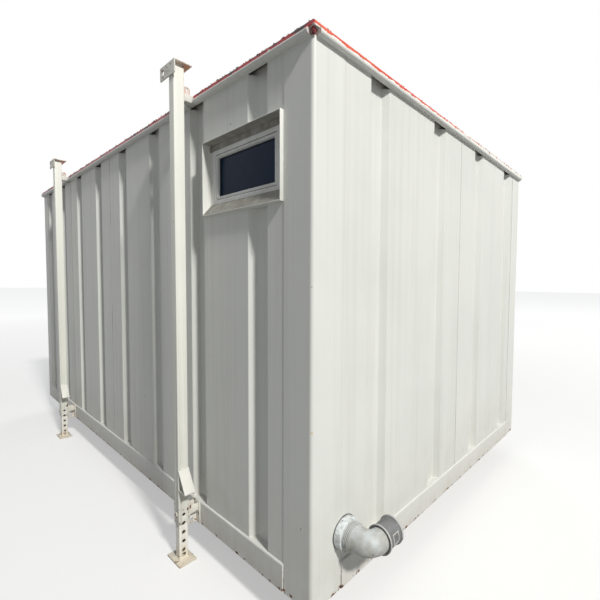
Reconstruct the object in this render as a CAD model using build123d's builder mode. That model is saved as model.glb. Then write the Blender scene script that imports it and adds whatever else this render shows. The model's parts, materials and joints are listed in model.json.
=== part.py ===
from build123d import *
import os

# Portable steel site cabin on four telescoping jack legs, in millimetres.
# X runs along the long walls, the window and two legs face -Y, the soil pipe leaves the +X end, Z is up.
# The origin is on the ground under the middle of the overall outline.

# Body
body_length = 4880.0          # over the outer flats of the end walls
body_width = 2740.0           # over the outer flats of the long walls
body_height = 2535.0          # base rail's underside to the roof edge's top
ground_clearance = 180.0      # ground to the base rail's underside

# Base rails, joists and floor
rail_height = 140.0
rail_flange = 60.0
rail_gauge = 5.0
rail_bend = 9.0               # outside radius of the channel's folds
rail_proud = 9.0              # rails stand this far out of the wall's flats
joist_height = 100.0
joist_flange = 45.0
joist_gauge = 3.0
joist_count = 9
deck_thickness = 22.0
fit_gap = 0.5                 # play round boards that drop in between steel faces

# Pressed wall sheets
sheet_gauge = 2.0
recess_depth = 36.0
recess_mouth = 160.0          # width of a recess at the outer flats
recess_slope = 30.0           # run of each sloping side
press_radius = 6.0
side_pitch = 597.0
side_first_recess = 394.0     # centre of the first recess from the +X corner
end_pitch = 640.0
end_first_recess = 465.0      # centre of the first recess from the -Y corner
recess_flat = 30.0            # least flat between the last recess and the far corner panel

# Corner panels
corner_leg = 190.0
corner_gauge = 2.0
corner_radius = 18.0
corner_lap = 24.0             # wall sheet that lies behind a corner panel

# Linings
lining_thickness = 50.0
ceiling_thickness = 38.0      # insulated panel that fills up under the roof's swages

# Roof
roof_rim = 42.0               # roof sheet's turned-down edge
roof_gauge = 2.0
roof_swage_depth = 12.0
roof_swage_width = 90.0
roof_swage_slope = 20.0
roof_swage_pitch = 480.0
roof_swage_margin = 130.0     # plain strip between the swages and the roof's edge
fascia_gauge = 2.0
fascia_nose_radius = 13.0
fascia_overhang = 30.0        # wall flat to the nose of the rolled fascia
fascia_top_leg = 45.0         # top leaf that lies on the roof panel
capping_gauge = 3.0
capping_drop = 21.0
capping_top_leg = 60.0
fascia_break = 74.0           # gap left in the fascia for each leg's top arm
fascia_end_gap = 12.0         # rolled nose stops this far before the corner
capping_break = 60.0

# Window
window_offset = 539.5         # centre of the surround from the +X corner
surround_width = 695.0
surround_height = 405.0
surround_drop = 295.0         # roof edge's top to the surround's top
surround_gauge = 4.0
surround_proud = 22.0
surround_flange_gauge = 3.0
surround_flange_setback = 30.0
sill_lip = 6.0
frame_width = 600.0
frame_height = 300.0
frame_face = 24.0
frame_step = 4.0              # frame's face to the sash's
frame_side_shift = -20.5      # frame's centre from the surround's centre
frame_rise = 17.0             # frame's centre above the surround's centre
sash_face = 20.0
sash_depth = 44.0
glass_thickness = 20.0
glass_setback = 20.0          # frame's face to the glass

# Door in the far long wall
door_offset = 0.0             # centre of the doorway from the body's middle
door_outer_width = 940.0
door_outer_height = 2060.0
door_frame_face = 42.0
door_frame_proud = 22.0
door_leaf_thickness = 45.0
door_gap = 3.0
hinge_radius = 8.0
hinge_length = 110.0
hinge_leaf_width = 60.0
hinge_leaf_gauge = 3.0
hinge_count = 3
hinge_pitch = 760.0
handle_height = 1000.0        # above the doorway's bottom
handle_plate_width = 60.0
handle_plate_height = 190.0
handle_plate_gauge = 6.0
handle_bar_radius = 9.0
handle_bar_length = 125.0
handle_neck = 45.0

# Soil pipe
soil_side_offset = 210.0      # pipe's axis from the -Y corner
soil_height = 274.0           # pipe's axis above the base rail's underside
soil_radius = 55.0
soil_wall = 3.2
soil_bend_radius = 60.0
soil_reach = 169.0            # wall flat to the axis of the outlet
soil_collar_radius = 76.0
soil_collar_length = 42.0
soil_rib_radius = 65.0
soil_rib_count = 4
soil_rib_pitch = 9.0
soil_rib_width = 5.0
soil_spigot = 45.0            # length that enters the coupling
soil_hole_play = 1.0
coupling_length = 102.0
coupling_body_radius = 63.0
coupling_ring_radius = 70.0
coupling_ring_width = 15.0
coupling_bore_play = 0.4
coupling_stop_width = 4.0     # register inside, between the two sockets

# Jack legs
leg_spacing = 2685.0          # between leg centres along a long wall
leg_offset = 82.5             # middle of a side's two legs from the body's middle, towards the pipe
leg_standoff = 70.0           # wall flat to the outer post
post_size = 60.0
post_gauge = 4.0
post_corner_radius = 6.0
post_bottom_height = 223.0
post_notch_radius = 14.0      # half-round notch in the end-facing walls at the post's foot
cap_rise = 150.0              # cap's top above the roof edge
cap_top_leaf = 100.0
cap_hanging_leaf = 75.0
cap_gauge = 6.0
cap_inboard_reach = 125.0     # towards the body's -X end from the leg's centre
cap_outboard_reach = 55.0
lifting_hole_radius = 15.0
lifting_hole_edge = 35.0
arm_width = 50.0
arm_height = 40.0
ear_gauge = 8.0
ear_spacing = 34.0
ear_height = 42.0
ear_depth = 36.0
ear_hole_radius = 8.0
gusset_gauge = 6.0
gusset_post_height = 62.0
gusset_rail_height = 40.0
gusset_bottom_height = 256.0
pad_gauge = 6.0
pad_width = 90.0
pad_bottom_height = 186.0
pad_top_height = 318.0
eye_radius = 22.0
eye_hole_radius = 12.0
eye_gauge = 10.0
eye_reach = 30.0              # pad's face to the eye's centre
jacking_top_height = 555.0
jacking_bottom_height = 430.0
jacking_reach = 80.0
jacking_gauge = 5.0
jacking_land = 5.0            # upright edge at the foot of the sloping plate

# Telescoping inner legs, feet and pins
inner_size = 50.0
inner_gauge = 4.0
inner_corner_radius = 5.0
leg_travel = 600.0
leg_overlap = 300.0           # length kept inside the outer post at full travel
leg_end_play = 4.0            # slot left over past the pin at full travel
leg_hole_pitch = 54.0
leg_holes_below_pin = 4
leg_drain_radius = 12.0
leg_drain_height = 34.0
foot_length = 160.0
foot_width = 100.0
foot_thickness = 10.0
pin_height = 278.0
pin_radius = 9.0
pin_seat = 0.3                # pin's underside to the slot's lower end
pin_play = 0.5                # pin to the holes round it
hole_sides = 12               # flats round a drilled hole
pin_head_radius = 16.0
pin_head_thickness = 6.0
pin_inner_reach = 24.0        # pin's tail past the post's inner face

# Derived levels
rail_bottom = ground_clearance
rail_top = rail_bottom + rail_height
deck_top = rail_top + deck_thickness
roof_edge_top = rail_bottom + body_height
roof_panel_top = roof_edge_top - capping_gauge - fascia_gauge
wall_top = roof_panel_top - roof_rim
ceiling_top = roof_panel_top - roof_swage_depth - roof_gauge
ceiling_bottom = ceiling_top - ceiling_thickness
cap_top = roof_edge_top + cap_rise
post_top = cap_top - cap_gauge
leg_first_hole_height = pin_height - leg_holes_below_pin * leg_hole_pitch
inner_top = post_bottom_height + leg_travel + leg_overlap

# Derived places
pipe_outermost = soil_reach + coupling_ring_radius
mid_x = -(pipe_outermost - fascia_overhang) / 2
half_length = body_length / 2
half_width = body_width / 2
right_x = mid_x + half_length
left_x = mid_x - half_length
sheet_back = recess_depth + sheet_gauge
lining_back = sheet_back + lining_thickness
post_y = half_width + leg_standoff + post_size / 2
leg_xs = {"right": mid_x + leg_offset + leg_spacing / 2, "left": mid_x + leg_offset - leg_spacing / 2}
window_x = right_x - window_offset
window_z = roof_edge_top - surround_drop - surround_height / 2
frame_x = window_x + frame_side_shift
frame_z = window_z + frame_rise
door_x = mid_x + door_offset
door_z = deck_top + door_outer_height / 2
soil_y = -half_width + soil_side_offset
soil_z = rail_bottom + soil_height

os.makedirs("parts", exist_ok=True)


def save(part, name):
    """Labels a finished piece and writes it under its node name."""
    part.label = name
    export_step(part, f"parts/{name}.step")


# Each side of the body: middle of its flats, direction to the viewer's right, direction inward, half its run
sides = {
    "front": (Vector(mid_x, -half_width), Vector(1, 0, 0), Vector(0, 1, 0), half_length),
    "right": (Vector(right_x, 0), Vector(0, 1, 0), Vector(-1, 0, 0), half_width),
    "rear": (Vector(mid_x, half_width), Vector(-1, 0, 0), Vector(0, -1, 0), half_length),
    "left": (Vector(left_x, 0), Vector(0, -1, 0), Vector(1, 0, 0), half_width),
}


def plan_plane(side, z):
    """Level plane on a side: local X to the viewer's right, local Y inward."""
    middle, along, inward, half_run = sides[side]
    return Plane(origin=middle + Vector(0, 0, z), x_dir=along, z_dir=(0, 0, 1))


def section_plane(side):
    """Upright plane across a side: local X inward, local Y up from the ground."""
    middle, along, inward, half_run = sides[side]
    return Plane(origin=middle, x_dir=inward, z_dir=along)


def elevation_plane(side):
    """Plane on a side's flats: local X to the viewer's right, local Y up, facing outward."""
    middle, along, inward, half_run = sides[side]
    return Plane(origin=middle, x_dir=along, z_dir=-inward)


def mitre_planes(side):
    """The upright 45 degree planes through the two corners of a side, each facing away from the side."""
    middle, along, inward, half_run = sides[side]
    return [
        Plane(origin=middle + along * (sign * half_run), z_dir=along * sign + inward)
        for sign in (-1, 1)
    ]


def folded_strip(points, radius, gauge, side):
    """Section of a folded sheet: the points give one face, the gauge is laid on the named side of it."""
    with BuildSketch() as strip:
        with BuildLine():
            FilletPolyline(*points, radius=radius)
            offset(amount=gauge, side=side)
        make_face()
    return strip.sketch


def mitred_run(side, section):
    """A section run along a side and cut at 45 degrees at both corners."""
    half_run = sides[side][3]
    with BuildPart() as run:
        with BuildSketch(section_plane(side)):
            add(section)
        extrude(amount=half_run + corner_leg, both=True)
        for plane in mitre_planes(side):
            split(bisect_by=plane, keep=Keep.BOTTOM)
    return run.part


def recess_centres(side):
    """Centres of a wall's recesses, in the side's local X."""
    far_clear = corner_leg + recess_flat + recess_mouth / 2
    if side in ("front", "rear"):
        count = int((body_length - side_first_recess - far_clear) // side_pitch) + 1
        centres = [half_length - side_first_recess - i * side_pitch for i in range(count)]
    else:
        count = int((body_width - end_first_recess - far_clear) // end_pitch) + 1
        centres = [end_first_recess - half_width + i * end_pitch for i in range(count)]
    return sorted(centres if side in ("front", "right") else [-c for c in centres])


def rail_channel(proud):
    """Section of a base rail whose web stands this far out of the wall's flats."""
    return folded_strip(
        [
            (rail_flange - rail_proud, rail_bottom),
            (-proud, rail_bottom),
            (-proud, rail_top),
            (rail_flange - rail_proud, rail_top),
        ],
        rail_bend, rail_gauge, Side.RIGHT,
    )


# Base rails: folded channels, web outward, with mitred ends that are set back under the corner panels
for side in sides:
    half_run = sides[side][3]
    with BuildPart() as rail:
        add(mitred_run(side, rail_channel(0)))
        with BuildSketch(plan_plane(side, rail_bottom)):
            Rectangle(2 * (half_run - corner_leg), 2 * rail_flange)
            for sign in (-1, 1):
                with Locations((sign * half_run, 0)):
                    RegularPolygon(corner_radius, 4)
        extrude(amount=rail_height, mode=Mode.SUBTRACT)
        with BuildSketch(section_plane(side)):
            add(rail_channel(rail_proud))
        extrude(amount=half_run - corner_leg, both=True)
    save(rail.part, f"{side}_rail")

# Floor joists: channels across the cabin between the long rails' flange tips
joist_half_run = half_width + rail_proud - rail_flange
joist_pitch = (body_length - 2 * rail_flange) / (joist_count + 1)
with BuildPart() as floor_joists:
    for i in range(joist_count):
        joist_x = mid_x + (i - (joist_count - 1) / 2) * joist_pitch
        with BuildSketch(Plane(origin=(joist_x, 0, rail_top - joist_height / 2), x_dir=(1, 0, 0), z_dir=(0, -1, 0))):
            Rectangle(joist_flange, joist_height)
            with Locations((joist_gauge, 0)):
                Rectangle(joist_flange, joist_height - 2 * joist_gauge, mode=Mode.SUBTRACT)
        extrude(amount=joist_half_run, both=True)
save(floor_joists.part, "floor_joists")

# Floor deck: boards on the joists and the rails' top flanges, inside the wall sheets
deck_length = body_length - 2 * (sheet_back + fit_gap)
deck_width = body_width - 2 * (sheet_back + fit_gap)
with BuildPart() as floor_deck:
    with BuildSketch(Plane((mid_x, 0, rail_top))):
        Rectangle(deck_length, deck_width)
    extrude(amount=deck_thickness)
save(floor_deck.part, "floor_deck")


def opening_cutter(side):
    """What passes right through a side: the window surround, the doorway or the soil pipe."""
    with BuildPart() as cutter:
        with BuildSketch(elevation_plane(side)):
            if side == "front":
                with Locations((window_x - mid_x, window_z)):
                    Rectangle(surround_width, surround_height)
            elif side == "rear":
                with Locations((mid_x - door_x, door_z)):
                    Rectangle(door_outer_width, door_outer_height)
            else:
                with Locations((soil_y, soil_z)):
                    Circle(soil_radius + soil_hole_play)
        extrude(amount=lining_back + fascia_overhang, both=True)
    return cutter.part


cutters = {side: opening_cutter(side) for side in ("front", "rear", "right")}

# Wall sheets from rail to roof: outer flats with trapezoidal recesses pressed inward, and folded swage lines
for side in sides:
    sheet_end = sides[side][3] - corner_leg + corner_lap
    fold_points = [(-sheet_end, 0)]
    for centre in recess_centres(side):
        fold_points += [
            (centre - recess_mouth / 2, 0),
            (centre - recess_mouth / 2 + recess_slope, recess_depth),
            (centre + recess_mouth / 2 - recess_slope, recess_depth),
            (centre + recess_mouth / 2, 0),
        ]
    fold_points.append((sheet_end, 0))
    wall_section = folded_strip(fold_points, press_radius, sheet_gauge, Side.LEFT)
    with BuildPart() as wall:
        with BuildSketch(plan_plane(side, rail_top)):
            add(wall_section)
        extrude(amount=wall_top - rail_top)
        if side in cutters:
            add(cutters[side], mode=Mode.SUBTRACT)
    save(wall.part, f"{side}_wall")

# Corner panels: folded round each corner, lapped over the wall sheets and the rails' ends
corner_section = folded_strip(
    [(-corner_leg, -corner_gauge), (corner_gauge, -corner_gauge), (corner_gauge, corner_leg)],
    corner_radius, corner_gauge, Side.LEFT,
)
for side, name in (("front", "front_right"), ("right", "rear_right"), ("rear", "rear_left"), ("left", "front_left")):
    middle, along, inward, half_run = sides[side]
    corner_plane = Plane(origin=middle + along * half_run + Vector(0, 0, rail_bottom), x_dir=along, z_dir=(0, 0, 1))
    with BuildPart() as corner:
        with BuildSketch(corner_plane):
            add(corner_section)
        extrude(amount=wall_top - rail_bottom)
        add(cutters["right"], mode=Mode.SUBTRACT)
    save(corner.part, f"{name}_corner")

# Insulated linings on the backs of the recesses, with the ceiling boards on their tops
for side in sides:
    half_run = sides[side][3]
    lining_half = half_run - (sheet_back if side in ("front", "rear") else lining_back)
    with BuildPart() as lining:
        with BuildSketch(plan_plane(side, deck_top)):
            with Locations((0, sheet_back + lining_thickness / 2)):
                Rectangle(2 * lining_half - 2 * fit_gap, lining_thickness)
        extrude(amount=ceiling_bottom - deck_top)
        if side == "front":
            with BuildSketch(elevation_plane(side)):
                with Locations((frame_x - mid_x, frame_z)):
                    Rectangle(frame_width, frame_height)
            extrude(amount=-2 * lining_back, mode=Mode.SUBTRACT)
        elif side in cutters:
            add(cutters[side], mode=Mode.SUBTRACT)
    save(lining.part, f"{side}_lining")

with BuildPart() as ceiling:
    with BuildSketch(Plane((mid_x, 0, ceiling_bottom))):
        Rectangle(deck_length, deck_width)
    extrude(amount=ceiling_thickness)
save(ceiling.part, "ceiling")

# Roof panel: one pressed sheet, its rim turned down on the walls and swages pressed across it
swage_length = body_width - 2 * roof_swage_margin
swage_count = int((body_length - 2 * roof_swage_margin - roof_swage_width) // roof_swage_pitch) + 1
with BuildPart() as roof:
    with BuildSketch(Plane((mid_x, 0, wall_top))):
        Rectangle(body_length, body_width)
    extrude(amount=roof_rim)
    with BuildSketch(Plane((mid_x, 0, wall_top))):
        Rectangle(body_length - 2 * roof_gauge, body_width - 2 * roof_gauge)
    extrude(amount=roof_rim - roof_gauge, mode=Mode.SUBTRACT)
    for i in range(swage_count):
        swage_x = mid_x + (i - (swage_count - 1) / 2) * roof_swage_pitch
        for top, pressing in ((roof_panel_top - roof_gauge, Mode.ADD), (roof_panel_top, Mode.SUBTRACT)):
            with BuildSketch(Plane((swage_x, 0, top))):
                Rectangle(roof_swage_width, swage_length)
            with BuildSketch(Plane((swage_x, 0, top - roof_swage_depth))):
                Rectangle(roof_swage_width - 2 * roof_swage_slope, swage_length - 2 * roof_swage_slope)
            loft(mode=pressing)
save(roof.part, "roof_panel")


def leg_breaks(width):
    """Blocks that leave a gap in the roof edge for each leg's top arm."""
    with BuildPart() as breaks:
        for x in leg_xs.values():
            with BuildSketch(Plane((x, half_width + leg_standoff / 2, wall_top - arm_height))):
                Rectangle(width, leg_standoff)
            extrude(amount=2 * arm_height + roof_rim)
        mirror(about=Plane.XZ)
    return breaks.part


# Fascia: rolled sheet with a half-round nose, a return to the wall and a leaf on the roof panel
nose_in = fascia_overhang - fascia_nose_radius
nose_top = wall_top + 2 * fascia_nose_radius
with BuildSketch() as fascia_section:
    with BuildLine():
        Line((0, wall_top), (-nose_in, wall_top))
        RadiusArc((-nose_in, wall_top), (-nose_in, nose_top), fascia_nose_radius)
        Polyline(
            (-nose_in, nose_top),
            (-nose_in, roof_panel_top + fascia_gauge - capping_gauge),
            (capping_gauge - nose_in, roof_panel_top + fascia_gauge),
            (fascia_top_leg, roof_panel_top + fascia_gauge),
            (fascia_top_leg, roof_panel_top),
            (0, roof_panel_top),
            (0, wall_top),
        )
    make_face()
for side in sides:
    middle, along, inward, half_run = sides[side]
    nose_end = half_run - fascia_end_gap
    with BuildPart() as fascia:
        add(mitred_run(side, fascia_section.sketch))
        with BuildSketch(plan_plane(side, wall_top)):
            for sign in (-1, 1):
                with Locations((sign * (nose_end + fascia_overhang), -fascia_overhang)):
                    Rectangle(2 * fascia_overhang, 2 * fascia_overhang)
        extrude(amount=2 * fascia_nose_radius, mode=Mode.SUBTRACT)
        if side in ("front", "rear"):
            add(leg_breaks(fascia_break), mode=Mode.SUBTRACT)
    save(fascia.part, f"{side}_fascia")

# Roof edge capping: an angle over the fascia all round, its hanging leaf broken at each leg
capping_out = nose_in + capping_gauge
capping_section = folded_strip(
    [
        (-capping_out, roof_edge_top - capping_drop),
        (-capping_out, roof_edge_top),
        (capping_top_leg, roof_edge_top),
    ],
    2 * capping_gauge, capping_gauge, Side.RIGHT,
)
with BuildPart() as capping:
    for side in sides:
        add(mitred_run(side, capping_section))
    add(leg_breaks(capping_break), mode=Mode.SUBTRACT)
save(capping.part, "roof_capping")

# Window surround: a box through the sheet with an inner flange round the frame and a sill that falls outward
window_face = elevation_plane("front")
surround_bottom = window_z - surround_height / 2
frame_bottom = frame_z - frame_height / 2
with BuildPart() as window_surround:
    with BuildSketch(window_face.offset(surround_proud)):
        with Locations((window_x - mid_x, window_z)):
            Rectangle(surround_width, surround_height)
            Rectangle(
                surround_width - 2 * surround_gauge, surround_height - 2 * surround_gauge, mode=Mode.SUBTRACT
            )
    extrude(amount=-(surround_proud + recess_depth - fit_gap))
    with BuildSketch(window_face.offset(-surround_flange_setback)):
        with Locations((window_x - mid_x, window_z)):
            Rectangle(surround_width - 2 * surround_gauge, surround_height - 2 * surround_gauge)
        with Locations((frame_x - mid_x, frame_z)):
            Rectangle(frame_width, frame_height, mode=Mode.SUBTRACT)
    extrude(amount=-surround_flange_gauge)
    with BuildSketch(Plane((window_x, -half_width, 0), x_dir=(0, 1, 0), z_dir=(1, 0, 0))):
        with BuildLine():
            Polyline(
                (-surround_proud, surround_bottom + surround_gauge),
                (-surround_proud, surround_bottom + sill_lip),
                (surround_flange_setback, frame_bottom),
                (surround_flange_setback, surround_bottom + surround_gauge),
                close=True,
            )
        make_face()
    extrude(amount=surround_width / 2 - surround_gauge, both=True)
save(window_surround.part, "window_surround")

# Window frame, sash and sealed unit
frame_face_plane = window_face.offset(-surround_flange_setback)
with BuildPart() as window_frame:
    with BuildSketch(frame_face_plane):
        with Locations((frame_x - mid_x, frame_z)):
            Rectangle(frame_width, frame_height)
            Rectangle(frame_width - 2 * frame_face, frame_height - 2 * frame_face, mode=Mode.SUBTRACT)
    extrude(amount=surround_flange_setback - lining_back)
save(window_frame.part, "window_frame")

sash_width = frame_width - 2 * frame_face
sash_height = frame_height - 2 * frame_face
pane_width = sash_width - 2 * sash_face
pane_height = sash_height - 2 * sash_face
with BuildPart() as window_sash:
    with BuildSketch(frame_face_plane.offset(-frame_step)):
        with Locations((frame_x - mid_x, frame_z)):
            Rectangle(sash_width, sash_height)
            Rectangle(pane_width, pane_height, mode=Mode.SUBTRACT)
    extrude(amount=-sash_depth)
save(window_sash.part, "window_sash")

with BuildPart() as window_glass:
    with BuildSketch(frame_face_plane.offset(-glass_setback)):
        with Locations((frame_x - mid_x, frame_z)):
            Rectangle(pane_width, pane_height)
    extrude(amount=-glass_thickness)
save(window_glass.part, "window_glass")

# Door in the far long wall: frame through the wall, flush steel leaf, hinges and lever handle
door_face = elevation_plane("rear")
door_inner_width = door_outer_width - 2 * door_frame_face
door_inner_height = door_outer_height - 2 * door_frame_face
with BuildPart() as door_frame:
    with BuildSketch(door_face.offset(door_frame_proud)):
        with Locations((mid_x - door_x, door_z)):
            Rectangle(door_outer_width, door_outer_height)
            Rectangle(door_inner_width, door_inner_height, mode=Mode.SUBTRACT)
    extrude(amount=-(door_frame_proud + lining_back))
save(door_frame.part, "door_frame")

leaf_width = door_inner_width - 2 * door_gap
leaf_height = door_inner_height - 2 * door_gap
door_outer_face = door_face.offset(door_frame_proud)
with BuildPart() as door_leaf:
    with BuildSketch(door_outer_face):
        with Locations((mid_x - door_x, door_z)):
            Rectangle(leaf_width, leaf_height)
    extrude(amount=-door_leaf_thickness)
save(door_leaf.part, "door_leaf")

hinge_x = door_x + (leaf_width + door_gap) / 2
handle_x = mid_x - door_x + leaf_width / 2 - handle_plate_width
handle_z = deck_top + handle_height
with BuildPart() as door_fittings:
    for i in range(hinge_count):
        hinge_z = door_z + (i - (hinge_count - 1) / 2) * hinge_pitch
        with BuildSketch(Plane((hinge_x, half_width + door_frame_proud, hinge_z))):
            with Locations((0, hinge_leaf_gauge / 2)):
                Rectangle(hinge_leaf_width, hinge_leaf_gauge)
            with Locations((0, hinge_radius)):
                Circle(hinge_radius)
        extrude(amount=hinge_length / 2, both=True)
    with BuildSketch(door_outer_face):
        with Locations((handle_x, handle_z)):
            RectangleRounded(handle_plate_width, handle_plate_height, handle_plate_gauge)
    extrude(amount=handle_plate_gauge)
    with BuildSketch(door_outer_face.offset(handle_plate_gauge)):
        with Locations((handle_x, handle_z)):
            Circle(handle_bar_radius)
    extrude(amount=handle_neck)
    with BuildSketch(door_outer_face.offset(handle_plate_gauge + handle_neck)):
        with Locations((handle_x - handle_bar_length / 2 + handle_bar_radius, handle_z)):
            SlotOverall(handle_bar_length, 2 * handle_bar_radius)
    extrude(amount=-2 * handle_bar_radius)
save(door_fittings.part, "door_fittings")

# Soil pipe: spigot through the wall, wall socket, ribbed seal, short-radius bend along the wall
soil_centre = Vector(right_x, soil_y, soil_z)
across_wall = Plane(origin=soil_centre, x_dir=(0, 1, 0), z_dir=(1, 0, 0))
bend_start = soil_reach - soil_bend_radius
bend_end = soil_centre + Vector(soil_reach, soil_bend_radius, 0)
along_wall = Plane(origin=bend_end, x_dir=(1, 0, 0), z_dir=(0, 1, 0))


def soil_run(radius):
    """A round bar along the pipe's line, from inside the wall to the end of the outlet spigot."""
    with BuildPart() as run:
        with BuildLine(Plane(origin=soil_centre)) as route:
            entry = Line((-lining_back, 0), (bend_start, 0))
            elbow = RadiusArc(entry @ 1, (soil_reach, soil_bend_radius), -soil_bend_radius)
            Line(elbow @ 1, (soil_reach, soil_bend_radius + soil_spigot))
        with BuildSketch(across_wall.offset(-lining_back)):
            Circle(radius)
        sweep(path=route.wire())
    return run.part


with BuildPart() as soil_bend:
    add(soil_run(soil_radius))
    with BuildSketch(across_wall.offset(corner_gauge)):
        Circle(soil_collar_radius)
    extrude(amount=soil_collar_length)
    for i in range(soil_rib_count):
        with BuildSketch(across_wall.offset(corner_gauge + soil_collar_length + i * soil_rib_pitch)):
            Circle(soil_rib_radius)
        extrude(amount=soil_rib_width)
    add(soil_run(soil_radius - soil_wall), mode=Mode.SUBTRACT)
save(soil_bend.part, "soil_bend")

with BuildPart() as soil_coupling:
    with BuildSketch(along_wall):
        Circle(coupling_body_radius)
    extrude(amount=coupling_length)
    for start in (0, coupling_length - coupling_ring_width):
        with BuildSketch(along_wall.offset(start)):
            Circle(coupling_ring_radius)
        extrude(amount=coupling_ring_width)
    with BuildSketch(along_wall):
        Circle(soil_radius - soil_wall)
    extrude(amount=coupling_length, mode=Mode.SUBTRACT)
    for start, end in ((0, soil_spigot), (soil_spigot + coupling_stop_width, coupling_length)):
        with BuildSketch(along_wall.offset(start)):
            Circle(soil_radius + coupling_bore_play)
        extrude(amount=end - start, mode=Mode.SUBTRACT)
save(soil_coupling.part, "soil_coupling")

# Outer posts: square hollow sections with pin holes both ways near the foot
with BuildPart() as leg_posts:
    for x in leg_xs.values():
        with BuildSketch(Plane((x, -post_y, post_bottom_height))):
            RectangleRounded(post_size, post_size, post_corner_radius)
            RectangleRounded(
                post_size - 2 * post_gauge, post_size - 2 * post_gauge, post_corner_radius - post_gauge,
                mode=Mode.SUBTRACT,
            )
        extrude(amount=post_top - post_bottom_height)
        for direction in ((1, 0, 0), (0, 1, 0)):
            with BuildSketch(Plane(origin=(x, -post_y, pin_height), z_dir=direction)):
                RegularPolygon(pin_radius + pin_play, hole_sides, major_radius=False)
            extrude(amount=post_size, both=True, mode=Mode.SUBTRACT)
        with BuildSketch(Plane(origin=(x, -post_y, post_bottom_height), z_dir=(1, 0, 0))):
            RegularPolygon(post_notch_radius, hole_sides)
        extrude(amount=post_size, both=True, mode=Mode.SUBTRACT)
    mirror(about=Plane.XZ)
save(leg_posts.part, "leg_posts")

# Caps: angles over the posts, one leaf on top and one hanging on the outer side, drilled for lifting hooks
cap_length = cap_inboard_reach + cap_outboard_reach
cap_outer = post_size / 2 + cap_gauge
with BuildPart() as leg_caps:
    for x in leg_xs.values():
        with BuildSketch(Plane(origin=(x + cap_outboard_reach, -post_y, cap_top), x_dir=(0, 1, 0), z_dir=(1, 0, 0))):
            with BuildLine():
                Polyline(
                    (-cap_outer, -cap_hanging_leaf),
                    (-cap_outer, 0),
                    (cap_top_leaf - cap_outer, 0),
                    (cap_top_leaf - cap_outer, -cap_gauge),
                    (cap_gauge - cap_outer, -cap_gauge),
                    (cap_gauge - cap_outer, -cap_hanging_leaf),
                    close=True,
                )
            make_face()
        extrude(amount=-cap_length)
        with BuildSketch(Plane(origin=(x, -post_y, cap_top), x_dir=(1, 0, 0), z_dir=(0, -1, 0))):
            with Locations((lifting_hole_edge - cap_inboard_reach, -lifting_hole_edge)):
                Circle(lifting_hole_radius)
        extrude(amount=post_size, mode=Mode.SUBTRACT)
    mirror(about=Plane.XZ)
save(leg_caps.part, "leg_caps")

# Top arms: blocks through the breaks in the fascia, with a pair of drilled ears
with BuildPart() as leg_arms:
    for x in leg_xs.values():
        with BuildSketch(Plane((x, -half_width - leg_standoff / 2, wall_top + fascia_gauge))):
            Rectangle(arm_width, leg_standoff)
        extrude(amount=arm_height)
        arm_top = wall_top + fascia_gauge + arm_height
        for sign in (-1, 1):
            ear_x = x + sign * ear_spacing / 2
            with BuildSketch(Plane(origin=(ear_x, -half_width - leg_standoff, arm_top), x_dir=(0, 1, 0), z_dir=(1, 0, 0))):
                with Locations((ear_depth / 2, ear_height / 2)):
                    ear = Rectangle(ear_depth, ear_height)
                chamfer(ear.vertices().group_by(Axis.Z)[-1], length=ear_gauge)
                with Locations((ear_depth / 2, ear_height * 2 / 3)):
                    RegularPolygon(ear_hole_radius, hole_sides, major_radius=False, mode=Mode.SUBTRACT)
            extrude(amount=ear_gauge / 2, both=True)
    mirror(about=Plane.XZ)
save(leg_arms.part, "leg_arms")

# Foot brackets: two tapered gussets from post to rail, a pad on the rail and a padlock eye below
pad_face_y = -half_width - rail_proud - pad_gauge
with BuildPart() as leg_brackets:
    for x in leg_xs.values():
        with BuildSketch(Plane(origin=(x, pad_face_y, 0), x_dir=(1, 0, 0), z_dir=(0, -1, 0))):
            with Locations((0, (pad_bottom_height + pad_top_height) / 2)):
                Rectangle(pad_width, pad_top_height - pad_bottom_height)
        extrude(amount=-pad_gauge)
        for sign in (-1, 1):
            gusset_x = x + sign * (post_size - gusset_gauge) / 2
            with BuildSketch(Plane(origin=(gusset_x, 0, gusset_bottom_height), x_dir=(0, 1, 0), z_dir=(1, 0, 0))):
                with BuildLine():
                    Polyline(
                        (-half_width - leg_standoff, 0),
                        (-half_width - leg_standoff, gusset_post_height),
                        (pad_face_y, (gusset_post_height + gusset_rail_height) / 2),
                        (pad_face_y, (gusset_post_height - gusset_rail_height) / 2),
                        close=True,
                    )
                make_face()
            extrude(amount=gusset_gauge / 2, both=True)
        with BuildSketch(Plane(origin=(x, pad_face_y, pad_bottom_height + eye_radius), x_dir=(0, 1, 0), z_dir=(1, 0, 0))):
            with Locations((-eye_reach / 2, 0)):
                Rectangle(eye_reach, 2 * eye_radius)
            with Locations((-eye_reach, 0)):
                Circle(eye_radius)
                Circle(eye_hole_radius, mode=Mode.SUBTRACT)
        extrude(amount=eye_gauge / 2, both=True)
    mirror(about=Plane.XZ)
save(leg_brackets.part, "leg_brackets")

# Jacking brackets: a level bearing plate under a sloping plate on each post's +X face
with BuildPart() as jacking_brackets:
    for x in leg_xs.values():
        with BuildSketch(Plane(origin=(x + post_size / 2, -post_y, 0), x_dir=(1, 0, 0), z_dir=(0, -1, 0))):
            with BuildLine():
                Polyline(
                    (0, jacking_top_height),
                    (jacking_reach, jacking_bottom_height + jacking_land),
                    (jacking_reach, jacking_bottom_height),
                    (0, jacking_bottom_height),
                    (0, jacking_bottom_height + jacking_gauge),
                    (jacking_reach - 2 * jacking_gauge, jacking_bottom_height + jacking_gauge),
                    (0, jacking_top_height - 3 * jacking_gauge),
                    close=True,
                )
            make_face()
        extrude(amount=post_size / 2, both=True)
    mirror(about=Plane.XZ)
save(jacking_brackets.part, "jacking_brackets")

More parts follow.
